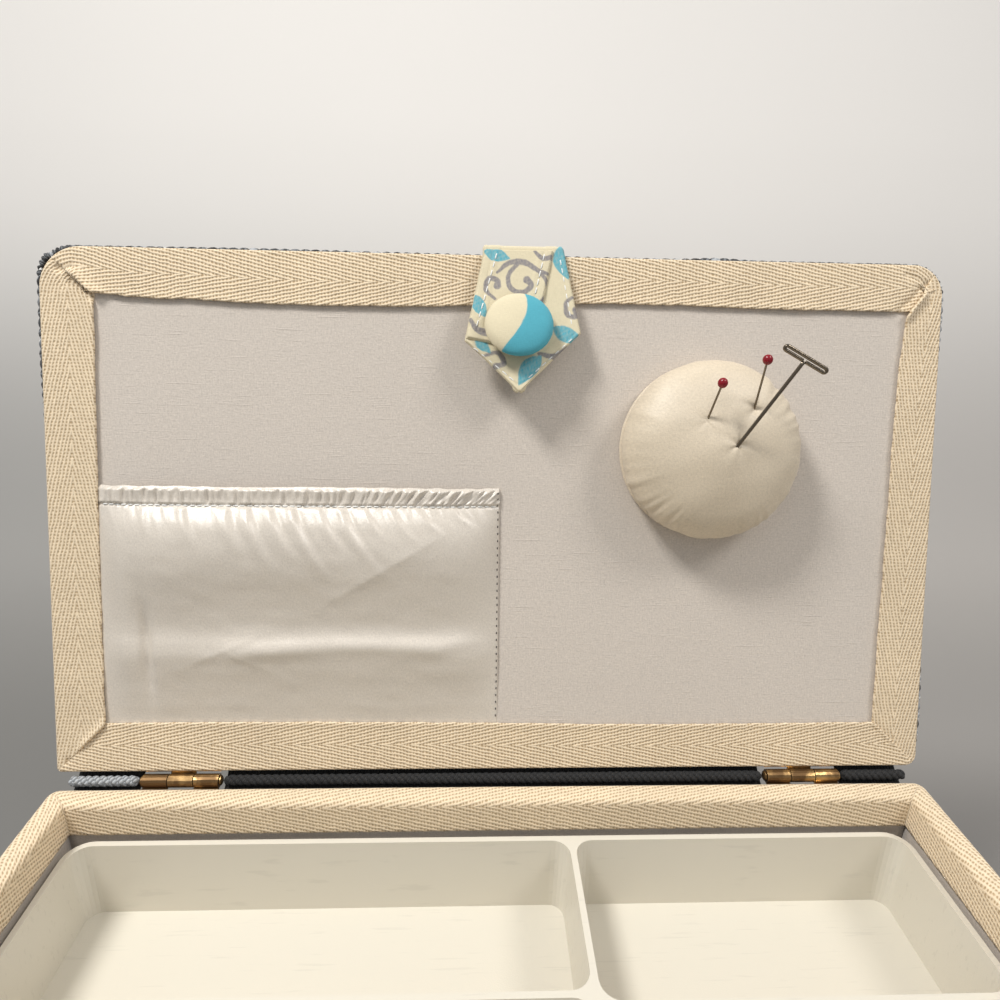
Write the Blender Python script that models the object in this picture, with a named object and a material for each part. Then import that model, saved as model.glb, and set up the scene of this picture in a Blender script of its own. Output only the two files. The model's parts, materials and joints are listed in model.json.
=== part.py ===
"""A lidded sewing basket, modelled in metres with +Z up.

The basket stands on the floor plane with its front towards -Y. It is shown with the lid open,
leaning back on its hinges. The origin is the middle of the face it rests on. Boards carry
a skin of woven cord outside and cloth panels inside, twill tape covers the edges, and the lid
carries a gathered pocket, a pincushion with three pins and a closure tab.
"""

import math

import bmesh
import bpy
from mathutils import Matrix, Vector

# Overall sizes
WIDTH = 0.3065
DEPTH = 0.1795
BODY_HEIGHT = 0.1400
FRONT_CORNER = 0.0100
BACK_CORNER = 0.0040
LEAST_CORNER = 0.0004
OPEN_ANGLE = math.radians(105.0)

# Clearances
GAP = 0.0003
OVERRUN = 0.0020
LID_SEAT_GAP = 0.0006

# Walls, from the outside inwards
CORD_SKIN = 0.0030
WALL_BOARD = 0.0032
LINING = 0.0008
BASE_BOARD = 0.0040
SKIN_FOOT_GAP = 0.0006
SKIN_EDGE_ROUND = 0.0012

# Twill tape
TAPE = 0.0009
LID_TAPE_WIDTH = 0.0160
LID_TAPE_SETBACK = 0.00075
RIM_TAPE_SETBACK = 0.0008
RIM_TAPE_DROP = 0.0120

# Lid
LID_BOARD = 0.0050
LID_LINING_INSET = 0.0010

# Hinges
HINGE_SPACING = 0.2200
HINGE_LENGTH = 0.0260
HINGE_BARREL_RADIUS = 0.0023
HINGE_PIN_RADIUS = 0.0011
HINGE_LEAF = 0.0008
HINGE_LEAF_REACH = 0.0084
HINGE_HEAD_RADIUS = 0.0017
HINGE_HEAD = 0.0007
MIDDLE_KNUCKLE_SHARE = 0.34

# Tray and the ledges that it stands on
TRAY_DROP = 0.0140
TRAY_HEIGHT = 0.0300
TRAY_FLOOR = 0.0018
TRAY_WALL = 0.0020
TRAY_CLEARANCE = 0.0012
TRAY_CORNER = 0.0080
TRAY_DRAFT = 0.0010
TRAY_INNER_CORNER = 0.0060
TRAY_SCOOP_RADIUS = 0.0150
TRAY_SCOOP_DEPTH = 0.0100
LEDGE = 0.0070
LEDGE_END_GAP = 0.0060
# Each compartment: left, right, front and back, as shares of the tray's inside
COMPARTMENT_SHARES = (
    (0.00, 0.59, 0.00, 0.32),
    (0.00, 0.30, 0.32, 0.66),
    (0.30, 0.59, 0.32, 0.66),
    (0.00, 0.59, 0.66, 1.00),
    (0.59, 1.00, 0.00, 0.64),
    (0.59, 1.00, 0.64, 1.00),
)

# Handle
PIVOT_HEIGHT = 0.1050
ARM_LENGTH = 0.1180
ARM_WIDTH = 0.0130
ARM = 0.0030
ARM_EDGE_ROUND = 0.0006
GRIP_RADIUS = 0.0078
GRIP_END_RADIUS = 0.0056
GRIP_TAPER = 0.0300
SPIGOT_RADIUS = 0.0026
SPIGOT_CAP_RADIUS = 0.0048
SPIGOT_CAP = 0.0016
BRACKET = 0.0015
BRACKET_RADIUS = 0.0140
BRACKET_LENGTH = 0.0400
SCREW_RADIUS = 0.0020
SHOULDER_RADIUS = 0.0030
SCREW_HEAD_RADIUS = 0.0062
SCREW_HEAD = 0.0026
SCREW_TIP_INSET = 0.0006
SCREW_DOME_SHARES = ((1.0, 0.4), (0.75, 0.8), (0.4, 1.0))

# Closure tab
TAB_OFFSET = 0.0066
TAB_ROOT_WIDTH = 0.0267
TAB_WIDTH = 0.0387
TAB_LENGTH = 0.0490
TAB_POINT = 0.0186
TAB_LAYER = 0.0010
TAB_REST_ANGLE = math.radians(12.0)
TAB_AXIS_HEIGHT = 0.0009
TAB_START = 0.0005
TAB_TOP_WIDTH = 0.0240
TAB_TOP_LENGTH = 0.0330
STRAP = 0.0016
STRAP_REACH = 0.0340
BUTTON_RADIUS = 0.0112
BUTTON_HEIGHT = 0.0052
BUTTON_PLACE = 0.0280
BUTTON_BACK_SHARE = 0.94
BUTTON_EDGE_SHARE = 0.15
BUTTON_FULLNESS = 0.80
MAGNET_RADIUS = 0.0060
MAGNET = 0.0014
KEEPER = 0.0014
MAGNET_GAP = 0.0004

# Pocket inside the lid
POCKET_WIDTH = 0.1360
POCKET_HEIGHT = 0.0840
POCKET_CLOTH = 0.0007
POCKET_SWELL = 0.0075
POCKET_CASING = 0.0064
POCKET_FADE = 0.0160
POCKET_RIPPLE = 0.00035
POCKET_RIPPLES = 9
POCKET_FULLNESS = 0.6
POCKET_FOOT_FULLNESS = 0.8
POCKET_DEPTH_SHARES = (0.0, 0.07, 0.16, 0.28, 0.45, 0.62, 0.80, 1.00)
ELASTIC = 0.0007
ELASTIC_WIDTH = 0.0044

# Pincushion inside the lid, placed from the lid's middle
CUSHION_X = 0.0705
CUSHION_Y = 0.0243
CUSHION_RADIUS = 0.0306
CUSHION_HEIGHT = 0.0210
CUSHION_BOARD = 0.0020
CUSHION_BOARD_RADIUS = 0.0312
CUSHION_PLEATS = 16
CUSHION_PLEAT_SHARE = 0.012
CUSHION_FOOT_SHARE = 0.93
CUSHION_GIRTH_SHARE = 0.20
CUSHION_TOP_SHARE = 0.02
CUSHION_PLEAT_REACH_SHARE = 0.60
CUSHION_FULLNESS = 0.75

# Pins: the point where each enters the cushion and the middle of its head, from the lid's
# middle and its lining's face
BALL_PINS = (
    ((0.0648, 0.0339, 0.0205), (0.0661, 0.0451, 0.0300)),
    ((0.0808, 0.0373, 0.0180), (0.0797, 0.0523, 0.0300)),
)
T_PIN = ((0.0743, 0.0264, 0.0218), (0.0885, 0.0518, 0.0350))
BALL_RADIUS = 0.0016
BALL_HALF_ANGLE = math.radians(82.0)
BALL_SHAFT_RADIUS = 0.00035
BALL_PIN_LENGTH = 0.0340
T_SHAFT_RADIUS = 0.0006
T_PIN_LENGTH = 0.0510
T_HEAD_LENGTH = 0.0160
T_HEAD_WIDTH = 0.0030
POINT_LENGTH = 0.0030
POINT_RADIUS = 0.0001

# Counts
ARC_STEPS = 6
ROUND_STEPS = 24
CUSHION_STEPS = 48
PIN_STEPS = 8
SMALL_STEPS = 16
HALF_ROUND_STEPS = 8
BOARD_DISC_STEPS = 32
CROWN_STEPS = 9
POCKET_STEPS = 36

# Derived places
SEAT_HALF_GAP = LID_SEAT_GAP / 2
WALL_TOP = BODY_HEIGHT - SEAT_HALF_GAP - TAPE - GAP
BOARD_OFFSET = CORD_SKIN + GAP
BOARD_INSIDE = BOARD_OFFSET + WALL_BOARD
LINING_OFFSET = BOARD_INSIDE + GAP
LINING_INSIDE = LINING_OFFSET + LINING
RIM_INSIDE = LINING_INSIDE + GAP + TAPE
HINGE_OFFSET = HINGE_BARREL_RADIUS + GAP
HINGE_Y = DEPTH / 2 + HINGE_OFFSET
LID_MIDDLE = HINGE_OFFSET + DEPTH / 2
LID_FRONT = HINGE_OFFSET + DEPTH
LID_FACE = -SEAT_HALF_GAP
LINING_FACE = LID_FACE - TAPE - GAP
LID_BOARD_FACE = LINING_FACE - LINING - GAP
LID_BOARD_BACK = LID_BOARD_FACE - LID_BOARD
LID_SKIN_INSIDE = LID_BOARD_BACK - GAP
LID_SKIN_OUTSIDE = LID_SKIN_INSIDE - CORD_SKIN
OPENING_INSET = LID_TAPE_SETBACK + LID_TAPE_WIDTH
TRAY_TOP = BODY_HEIGHT - TRAY_DROP
TRAY_BASE = TRAY_TOP - TRAY_HEIGHT
TRAY_HALF_X = WIDTH / 2 - RIM_INSIDE - TRAY_CLEARANCE
TRAY_HALF_Y = DEPTH / 2 - RIM_INSIDE - TRAY_CLEARANCE
ARM_INNER = WIDTH / 2 + GAP + BRACKET + GAP
ARM_OUTER = ARM_INNER + ARM
GRIP_REST_ANGLE = math.acos((DEPTH / 2 + GRIP_RADIUS + GAP) / ARM_LENGTH)
HANDLE_TRAVEL = math.pi / 2 + GRIP_REST_ANGLE
TAB_AXIS_Y = LID_FRONT + GAP + STRAP / 2
MAGNET_OUTER = TAB_LAYER + GAP + MAGNET
TAB_LEAN = math.asin(
    (KEEPER + GAP + MAGNET_GAP + MAGNET_OUTER - GAP - STRAP / 2) / (BUTTON_PLACE - MAGNET_RADIUS)
)

# Finishes: colour, roughness and metallic value
CREAM_TAPE = ((0.78, 0.67, 0.50), 0.9, 0.0)
PALE_COTTON = ((0.62, 0.57, 0.52), 0.9, 0.0)
IVORY_SATIN = ((0.75, 0.69, 0.60), 0.35, 0.0)
CORD = ((0.06, 0.06, 0.06), 0.8, 0.0)
HARDBOARD = ((0.35, 0.22, 0.12), 0.8, 0.0)
PALE_WOOD = ((0.62, 0.45, 0.28), 0.6, 0.0)
OLD_BRASS = ((0.45, 0.30, 0.14), 0.4, 1.0)
STEEL = ((0.60, 0.60, 0.60), 0.25, 1.0)
PRINTED_COTTON = ((0.80, 0.76, 0.62), 0.9, 0.0)
BLUE_COTTON = ((0.20, 0.50, 0.58), 0.9, 0.0)
RED_GLASS = ((0.60, 0.01, 0.03), 0.1, 0.0)
CARD = ((0.45, 0.42, 0.38), 0.9, 0.0)
CREAM_PLASTIC = ((0.74, 0.70, 0.62), 0.4, 0.0)


def clear_scene():
    """Empties the scene of whatever it starts with."""
    for obj in list(bpy.data.objects):
        bpy.data.objects.remove(obj, do_unlink=True)


def make_material(name, finish):
    """A material of this object's own, from a colour, a roughness and a metallic value."""
    colour, roughness, metallic = finish
    material = bpy.data.materials.new(name)
    material.use_nodes = True
    shader = material.node_tree.nodes["Principled BSDF"]
    shader.inputs["Base Color"].default_value = (*colour, 1.0)
    shader.inputs["Roughness"].default_value = roughness
    shader.inputs["Metallic"].default_value = metallic
    return material


def make_frame(name, place, turn=0.0, parent=None):
    """An empty that a group of pieces is parented to, turned about X."""
    frame = bpy.data.objects.new(name, None)
    bpy.context.scene.collection.objects.link(frame)
    frame.location = place
    frame.rotation_euler = (turn, 0.0, 0.0)
    frame.parent = parent
    return frame


def make_object(name, points, faces, finish, parent=None, smooth=True):
    """A named mesh object with its faces pointing out."""
    mesh = bpy.data.meshes.new(name)
    mesh.from_pydata([tuple(p) for p in points], [], faces)
    shape = bmesh.new()
    shape.from_mesh(mesh)
    bmesh.ops.recalc_face_normals(shape, faces=shape.faces)
    shape.to_mesh(mesh)
    shape.free()
    if smooth:
        mesh.shade_smooth()
        mesh.set_sharp_from_angle(angle=math.radians(35.0))
    mesh.materials.append(make_material(name, finish))
    obj = bpy.data.objects.new(name, mesh)
    bpy.context.scene.collection.objects.link(obj)
    obj.parent = parent
    return obj


def loops_to_solid(name, loops, finish, parent=None, closed=False):
    """Bridges loops of equal counts. Open ends are capped, or the last loop meets the first."""
    count = len(loops[0])
    points = [point for loop in loops for point in loop]
    faces = []
    spans = len(loops) if closed else len(loops) - 1
    for n in range(spans):
        low = n * count
        high = (n + 1) % len(loops) * count
        for i in range(count):
            j = (i + 1) % count
            faces.append((low + i, low + j, high + j, high + i))
    if not closed:
        faces.append(tuple(range(count)))
        faces.append(tuple(range((len(loops) - 1) * count, len(loops) * count)))
    return make_object(name, points, faces, finish, parent)


def box(name, x, y, z, finish, parent=None):
    """A block between two values on each axis."""
    loop = [(x[0], y[0]), (x[1], y[0]), (x[1], y[1]), (x[0], y[1])]
    loops = [[(a, b, height) for a, b in loop] for height in z]
    return loops_to_solid(name, loops, finish, parent)


def corner_radius(full, offset):
    """The radius left of a corner once the outline is taken in by an offset."""
    return max(full - offset, LEAST_CORNER)


def basket_outline(offset, middle=0.0, front=1):
    """The basket's outline taken in by an offset, in plan. front is the way the front faces."""
    half_x = WIDTH / 2 - offset
    half_y = DEPTH / 2 - offset
    radii = [corner_radius(BACK_CORNER, offset)] * 2 + [corner_radius(FRONT_CORNER, offset)] * 2
    return [(x, middle - front * y) for x, y in rounded_outline(half_x, half_y, radii)]


def rounded_outline(half_x, half_y, radii):
    """A rectangle with a radius at each corner: -x -y, +x -y, +x +y, -x +y."""
    points = []
    signs = ((-1, -1), (1, -1), (1, 1), (-1, 1))
    for n, (sx, sy) in enumerate(signs):
        radius = radii[n]
        centre = (sx * (half_x - radius), sy * (half_y - radius))
        for step in range(ARC_STEPS + 1):
            angle = math.pi * (1 + n / 2 + step / ARC_STEPS / 2)
            x = centre[0] + radius * math.cos(angle)
            points.append((x, centre[1] + radius * math.sin(angle)))
    return points


def at_height(outline, height):
    return [(x, y, height) for x, y in outline]


def plate(name, outline, z, finish, parent=None):
    """An outline in plan, drawn between two heights."""
    return loops_to_solid(name, [at_height(outline, height) for height in z], finish, parent)


def turned(name, profile, finish, parent=None, steps=ROUND_STEPS, place=None, axis=(0, 0, 1)):
    """A profile of (radius, height) turned about an axis. Its ends are closed by flat faces."""
    turn = Vector((0, 0, 1)).rotation_difference(Vector(axis)).to_matrix()
    place = Vector(place or (0, 0, 0))
    loops = []
    for radius, height in profile:
        loop = []
        for step in range(steps):
            angle = 2 * math.pi * step / steps
            point = Vector((radius * math.cos(angle), radius * math.sin(angle), height))
            loop.append(turn @ point + place)
        loops.append(loop)
    return loops_to_solid(name, loops, finish, parent)


def hide_helper(obj):
    obj.hide_render = True
    obj.display_type = "WIRE"
    return obj


def combine(target, helper, operation):
    """Adds a Boolean to a piece and hides the helper that it takes."""
    modifier = target.modifiers.new(helper.name, "BOOLEAN")
    modifier.object = hide_helper(helper)
    modifier.operation = operation
    modifier.solver = "EXACT"
    return target


def cut(target, *helpers):
    for helper in helpers:
        combine(target, helper, "DIFFERENCE")


def make_boards():
    """The base board, and four walls that stand on it, cut to the rounded outline."""
    plate("base_board", basket_outline(BOARD_OFFSET), (0.0, BASE_BOARD), HARDBOARD)
    outline = plate(
        "helper_board_outline",
        basket_outline(BOARD_OFFSET),
        (BASE_BOARD + GAP, WALL_TOP),
        HARDBOARD,
    )
    outer_x = WIDTH / 2 - BOARD_OFFSET + OVERRUN
    outer_y = DEPTH / 2 - BOARD_OFFSET + OVERRUN
    inner_x = WIDTH / 2 - BOARD_INSIDE
    inner_y = DEPTH / 2 - BOARD_INSIDE
    heights = (BASE_BOARD + GAP - OVERRUN, WALL_TOP + OVERRUN)
    between = (GAP - inner_y, inner_y - GAP)
    walls = {
        "front_board": ((-outer_x, outer_x), (-outer_y, -inner_y)),
        "back_board": ((-outer_x, outer_x), (inner_y, outer_y)),
        "left_board": ((-outer_x, -inner_x), between),
        "right_board": ((inner_x, outer_x), between),
    }
    for name, (x, y) in walls.items():
        wall = box(name, x, y, heights, HARDBOARD)
        combine(wall, outline, "INTERSECT")
    hinge_seats = [mortise(f"helper_body_seat_{n}", x, -1) for n, x in enumerate(hinge_places())]
    cut(bpy.data.objects["back_board"], *hinge_seats)
    return hinge_seats


def make_cord_skin(hinge_seats):
    """The sleeve of woven cord round the walls, with its top and bottom edges rounded over."""
    edge = SKIN_EDGE_ROUND
    loops = [
        at_height(basket_outline(CORD_SKIN), SKIN_FOOT_GAP),
        at_height(basket_outline(edge), SKIN_FOOT_GAP),
        at_height(basket_outline(0.0), SKIN_FOOT_GAP + edge),
        at_height(basket_outline(0.0), WALL_TOP - edge),
        at_height(basket_outline(edge), WALL_TOP),
        at_height(basket_outline(CORD_SKIN), WALL_TOP),
    ]
    skin = loops_to_solid("woven_body_skin", loops, CORD, closed=True)
    cut(skin, *hinge_seats)
    return skin


def make_linings():
    """A base panel and four wall panels of cloth on card, inside the boards."""
    outer_x = WIDTH / 2 - LINING_OFFSET
    outer_y = DEPTH / 2 - LINING_OFFSET
    inner_x = WIDTH / 2 - LINING_INSIDE
    inner_y = DEPTH / 2 - LINING_INSIDE
    low = BASE_BOARD + GAP
    box("base_lining", (-outer_x, outer_x), (-outer_y, outer_y), (low, low + LINING), PALE_COTTON)
    heights = (low + LINING + GAP, WALL_TOP)
    between = (GAP - inner_y, inner_y - GAP)
    panels = {
        "front_lining": ((-outer_x, outer_x), (-outer_y, -inner_y)),
        "back_lining": ((-outer_x, outer_x), (inner_y, outer_y)),
        "left_lining": ((-outer_x, -inner_x), between),
        "right_lining": ((inner_x, outer_x), between),
    }
    for name, (x, y) in panels.items():
        box(name, x, y, heights, PALE_COTTON)


def make_rim_tape():
    """One tape round the rim: flat over the walls' top edges and folded down inside."""
    top = BODY_HEIGHT - SEAT_HALF_GAP
    low = top - TAPE
    hem = low - RIM_TAPE_DROP
    fold = LINING_INSIDE + GAP
    loops = [
        at_height(basket_outline(RIM_TAPE_SETBACK), low),
        at_height(basket_outline(RIM_TAPE_SETBACK), top),
        at_height(basket_outline(RIM_INSIDE), top),
        at_height(basket_outline(RIM_INSIDE), hem),
        at_height(basket_outline(fold), hem),
        at_height(basket_outline(fold), low),
    ]
    loops_to_solid("rim_tape", loops, CREAM_TAPE, closed=True)


def make_ledges():
    """Two wooden strips on the end linings, just under the tray."""
    inner = WIDTH / 2 - LINING_INSIDE - GAP
    reach_y = DEPTH / 2 - LINING_INSIDE - LEDGE_END_GAP
    heights = (TRAY_BASE - GAP - LEDGE, TRAY_BASE - GAP)
    for side, sign in (("left", -1), ("right", 1)):
        x = sorted((sign * inner, sign * (inner - LEDGE)))
        box(f"{side}_tray_ledge", x, (-reach_y, reach_y), heights, PALE_WOOD)


def compartment_cutter(number, shares, inside_x, inside_y):
    """A tapered well with rounded corners, from the tray's floor up past its rim."""
    left, right, front, back = shares
    x = [-inside_x + 2 * inside_x * share for share in (left, right)]
    y = [-inside_y + 2 * inside_y * share for share in (front, back)]
    divider = TRAY_WALL / 2
    x = [x[0] + divider * (left > 0), x[1] - divider * (right < 1)]
    y = [y[0] + divider * (front > 0), y[1] - divider * (back < 1)]
    centre = ((x[0] + x[1]) / 2, (y[0] + y[1]) / 2)
    half = ((x[1] - x[0]) / 2, (y[1] - y[0]) / 2)
    loops = []
    floor = TRAY_BASE + TRAY_FLOOR
    for height, draft in ((floor, TRAY_DRAFT), (TRAY_TOP, 0.0), (TRAY_TOP + OVERRUN, 0.0)):
        radii = [TRAY_INNER_CORNER - draft] * 4
        outline = rounded_outline(half[0] - draft, half[1] - draft, radii)
        loops.append([(centre[0] + a, centre[1] + b, height) for a, b in outline])
    return loops_to_solid(f"helper_compartment_{number}", loops, CREAM_PLASTIC)


def make_tray():
    """A moulded tray of six tapered compartments, with a finger scoop in each end wall."""
    radii = [TRAY_CORNER] * 4
    low = rounded_outline(TRAY_HALF_X - TRAY_DRAFT, TRAY_HALF_Y - TRAY_DRAFT, radii)
    high = rounded_outline(TRAY_HALF_X, TRAY_HALF_Y, radii)
    loops = [at_height(low, TRAY_BASE), at_height(high, TRAY_TOP)]
    tray = loops_to_solid("tray", loops, CREAM_PLASTIC)
    inside = (TRAY_HALF_X - TRAY_WALL, TRAY_HALF_Y - TRAY_WALL)
    for number, shares in enumerate(COMPARTMENT_SHARES):
        cut(tray, compartment_cutter(number, shares, *inside))
    centre = TRAY_TOP + TRAY_SCOOP_RADIUS - TRAY_SCOOP_DEPTH
    for side, sign in (("left", -1), ("right", 1)):
        start = sign * (TRAY_HALF_X - TRAY_WALL - OVERRUN)
        length = TRAY_WALL + 2 * OVERRUN
        profile = ((TRAY_SCOOP_RADIUS, 0.0), (TRAY_SCOOP_RADIUS, length))
        scoop = turned(
            f"helper_{side}_scoop",
            profile,
            CREAM_PLASTIC,
            place=(start, 0.0, centre),
            axis=(sign, 0, 0),
        )
        cut(tray, scoop)


def hinge_places():
    return (-HINGE_SPACING / 2, HINGE_SPACING / 2)


def mortise(name, x, way, parent=None):
    """The seat cut for a hinge leaf. way is -1 on the body and 1 in the lid's own frame."""
    half = HINGE_LENGTH / 2 + GAP
    axis_y = HINGE_Y if parent is None else 0.0
    axis_z = BODY_HEIGHT if parent is None else 0.0
    y = sorted((axis_y - way * OVERRUN, axis_y + way * (HINGE_LEAF_REACH + GAP)))
    z = (axis_z - HINGE_BARREL_RADIUS - GAP, axis_z + OVERRUN)
    return box(name, (x - half, x + half), y, z, OLD_BRASS, parent)


def hinge_leaf(name, x, way, knuckles, cleared, parent=None):
    """A leaf with its knuckles, bored for the pin, and notched for the other leaf's knuckles."""
    axis_y = HINGE_Y if parent is None else 0.0
    axis_z = BODY_HEIGHT if parent is None else 0.0
    radius = HINGE_BARREL_RADIUS
    z = (axis_z - radius, axis_z - radius + HINGE_LEAF)
    y = sorted((axis_y, axis_y + way * HINGE_LEAF_REACH))
    half = HINGE_LENGTH / 2
    leaf = box(name, (x - half, x + half), y, z, OLD_BRASS, parent)
    for number, (start, end) in enumerate(knuckles):
        profile = ((radius, 0.0), (radius, end - start))
        place = (x + start, axis_y, axis_z)
        label = f"helper_{name}_knuckle_{number}"
        knuckle = turned(label, profile, OLD_BRASS, parent, SMALL_STEPS, place, (1, 0, 0))
        combine(leaf, knuckle, "UNION")
    notch_y = sorted((axis_y - way * OVERRUN * 2, axis_y + way * (radius + GAP)))
    for number, (start, end) in enumerate(cleared):
        notch = box(
            f"helper_{name}_notch_{number}",
            (x + start, x + end),
            notch_y,
            (axis_z - radius - OVERRUN, axis_z + radius + OVERRUN),
            OLD_BRASS,
            parent,
        )
        cut(leaf, notch)
    bore_radius = HINGE_PIN_RADIUS + GAP
    bore = turned(
        f"helper_{name}_bore",
        ((bore_radius, 0.0), (bore_radius, HINGE_LENGTH + 2 * OVERRUN)),
        OLD_BRASS,
        parent,
        SMALL_STEPS,
        (x - half - OVERRUN, axis_y, axis_z),
        (1, 0, 0),
    )
    cut(leaf, bore)


def make_hinges(lid):
    """Two butt hinges: outer knuckles on the body, a middle knuckle on the lid, and a pin."""
    half = HINGE_LENGTH / 2
    middle = half * MIDDLE_KNUCKLE_SHARE
    body_knuckles = ((-half, -middle - GAP / 2), (middle + GAP / 2, half))
    lid_knuckle = ((-middle + GAP / 2, middle - GAP / 2),)
    body_clear = ((-middle - GAP / 2, middle + GAP / 2),)
    lid_clear = ((-half - OVERRUN, -middle + GAP / 2), (middle - GAP / 2, half + OVERRUN))
    for side, x in zip(("left", "right"), hinge_places()):
        hinge_leaf(f"{side}_hinge_body_leaf", x, -1, body_knuckles, body_clear)
        hinge_leaf(f"{side}_hinge_lid_leaf", x, 1, lid_knuckle, lid_clear, lid)
        shaft = half + GAP
        profile = (
            (HINGE_PIN_RADIUS, -shaft - HINGE_HEAD),
            (HINGE_HEAD_RADIUS, -shaft - HINGE_HEAD / 2),
            (HINGE_HEAD_RADIUS, -shaft),
            (HINGE_PIN_RADIUS, -shaft),
            (HINGE_PIN_RADIUS, shaft),
            (HINGE_HEAD_RADIUS, shaft),
            (HINGE_HEAD_RADIUS, shaft + HINGE_HEAD / 2),
            (HINGE_PIN_RADIUS, shaft + HINGE_HEAD),
        )
        place = (x, HINGE_Y, BODY_HEIGHT)
        turned(f"{side}_hinge_pin", profile, OLD_BRASS, None, SMALL_STEPS, place, (1, 0, 0))


def make_lid_panel(lid):
    """The lid's board, the woven skin that wraps it, and the cloth that lines it."""
    board = basket_outline(BOARD_OFFSET, LID_MIDDLE, -1)
    plate("lid_board", board, (LID_BOARD_BACK, LID_BOARD_FACE), HARDBOARD, lid)
    edge = SKIN_EDGE_ROUND
    skirt = LINING_FACE
    loops = [
        at_height(basket_outline(CORD_SKIN, LID_MIDDLE, -1), LID_SKIN_INSIDE),
        at_height(basket_outline(CORD_SKIN, LID_MIDDLE, -1), skirt),
        at_height(basket_outline(edge, LID_MIDDLE, -1), skirt),
        at_height(basket_outline(0.0, LID_MIDDLE, -1), skirt - edge),
        at_height(basket_outline(0.0, LID_MIDDLE, -1), LID_SKIN_OUTSIDE + 2 * edge),
        at_height(basket_outline(edge / 2, LID_MIDDLE, -1), LID_SKIN_OUTSIDE + edge),
        at_height(basket_outline(2 * edge, LID_MIDDLE, -1), LID_SKIN_OUTSIDE),
    ]
    skin = loops_to_solid("woven_lid_skin", loops, CORD, lid)
    lining = plate(
        "lid_lining",
        basket_outline(BOARD_OFFSET + LID_LINING_INSET, LID_MIDDLE, -1),
        (LINING_FACE - LINING, LINING_FACE),
        PALE_COTTON,
        lid,
    )
    seats = [mortise(f"helper_lid_seat_{n}", x, 1, lid) for n, x in enumerate(hinge_places())]
    cut(skin, *seats)
    cut(lining, *seats)


def make_lid_tape(lid):
    """Four lengths of tape round the lid's inner face, mitred where they meet."""
    outer = basket_outline(LID_TAPE_SETBACK, LID_MIDDLE, -1)
    inner = basket_outline(OPENING_INSET, LID_MIDDLE, -1)
    count = ARC_STEPS + 1
    names = ("lid_tape_back", "lid_tape_right", "lid_tape_front", "lid_tape_left")
    along = ((1, 0), (0, 1), (-1, 0), (0, -1))
    for n, name in enumerate(names):
        start = n * count + count // 2
        spans = [i % (4 * count) for i in range(start, start + count + 1)]
        outside = [Vector(outer[i]) for i in spans]
        inside = [Vector(inner[i]) for i in spans]
        trim = Vector(along[n]) * GAP
        outside[0] += trim
        inside[0] += trim
        outside[-1] -= trim
        inside[-1] -= trim
        outline = [tuple(p) for p in outside] + [tuple(inside[-1]), tuple(inside[0])]
        plate(name, outline, (LID_FACE - TAPE, LID_FACE), CREAM_TAPE, lid)


def pocket_rise(share_along):
    """How far the pocket stands off at a share of its width: nothing at its ends."""
    return POCKET_SWELL * math.sin(math.pi * share_along) ** POCKET_FULLNESS


def pocket_ripple(share_along):
    return POCKET_RIPPLE * math.sin(2 * math.pi * POCKET_RIPPLES * share_along)


def pocket_down(depth):
    """The swell's share at a depth below the mouth: full at the mouth, none at the foot."""
    share = depth / POCKET_HEIGHT
    return math.cos(share * math.pi / 2) ** POCKET_FOOT_FULLNESS if share < 1 else 0.0


def casing_share(depth):
    """The share of the casing's thickness that is left at a depth below the mouth."""
    if depth <= POCKET_CASING:
        return 1.0
    share = min((depth - POCKET_CASING) / POCKET_FADE, 1.0)
    return 0.5 + 0.5 * math.cos(math.pi * share)


def pocket_section(share_along):
    """The pocket's section as (depth below the mouth, height over the lining)."""
    channel = ELASTIC + 2 * GAP
    rise = pocket_rise(share_along)
    ripple = pocket_ripple(share_along)
    rest = POCKET_HEIGHT - POCKET_CASING
    steps = [0.0, POCKET_CASING / 2]
    steps += [POCKET_CASING + rest * share for share in POCKET_DEPTH_SHARES]

    def inner_face(depth):
        fade = casing_share(depth)
        thick = (POCKET_CLOTH + channel) * fade
        wave = ripple * fade * (depth > POCKET_CASING) * math.sin(math.pi * share_along)
        return GAP + rise * pocket_down(depth) + thick + max(wave, -thick / 2)

    def lip(depth):
        return GAP + rise * pocket_down(depth)

    outside = [(depth, inner_face(depth) + POCKET_CLOTH) for depth in steps]
    inside = [(depth, inner_face(depth)) for depth in reversed(steps[1:])]
    fold = POCKET_CLOTH
    hem = POCKET_CASING - GAP
    turn_in = [
        (fold, inner_face(fold)),
        (fold, lip(fold) + POCKET_CLOTH),
        (hem, lip(hem) + POCKET_CLOTH),
        (hem, lip(hem)),
        (0.0, lip(0.0)),
    ]
    return outside + inside + turn_in


def make_pocket(lid):
    """A gathered pocket, open at the top, whose folded mouth holds a flat elastic."""
    left = LID_TAPE_SETBACK + LID_TAPE_WIDTH + GAP - WIDTH / 2
    mouth = HINGE_OFFSET + OPENING_INSET + GAP + POCKET_HEIGHT
    loops = []
    for step in range(POCKET_STEPS + 1):
        share = step / POCKET_STEPS
        x = left + POCKET_WIDTH * share
        section = pocket_section(share)
        loops.append([(x, mouth - depth, LINING_FACE + height) for depth, height in section])
    loops_to_solid("lid_pocket", loops, IVORY_SATIN, lid)
    start = (POCKET_CASING - ELASTIC_WIDTH) / 2 + POCKET_CLOTH / 2
    bands = []
    for step in range(POCKET_STEPS + 1):
        share = step / POCKET_STEPS
        x = left + POCKET_WIDTH * share
        corners = []
        for depth, up in ((0.0, 0.0), (ELASTIC_WIDTH, 0.0), (ELASTIC_WIDTH, ELASTIC), (0.0, ELASTIC)):
            lift = GAP + pocket_rise(share) * pocket_down(start + depth) + POCKET_CLOTH + GAP + up
            corners.append((x, mouth - start - depth, LINING_FACE + lift))
        bands.append(corners)
    loops_to_solid("pocket_elastic", bands, PALE_COTTON, lid)


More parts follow.
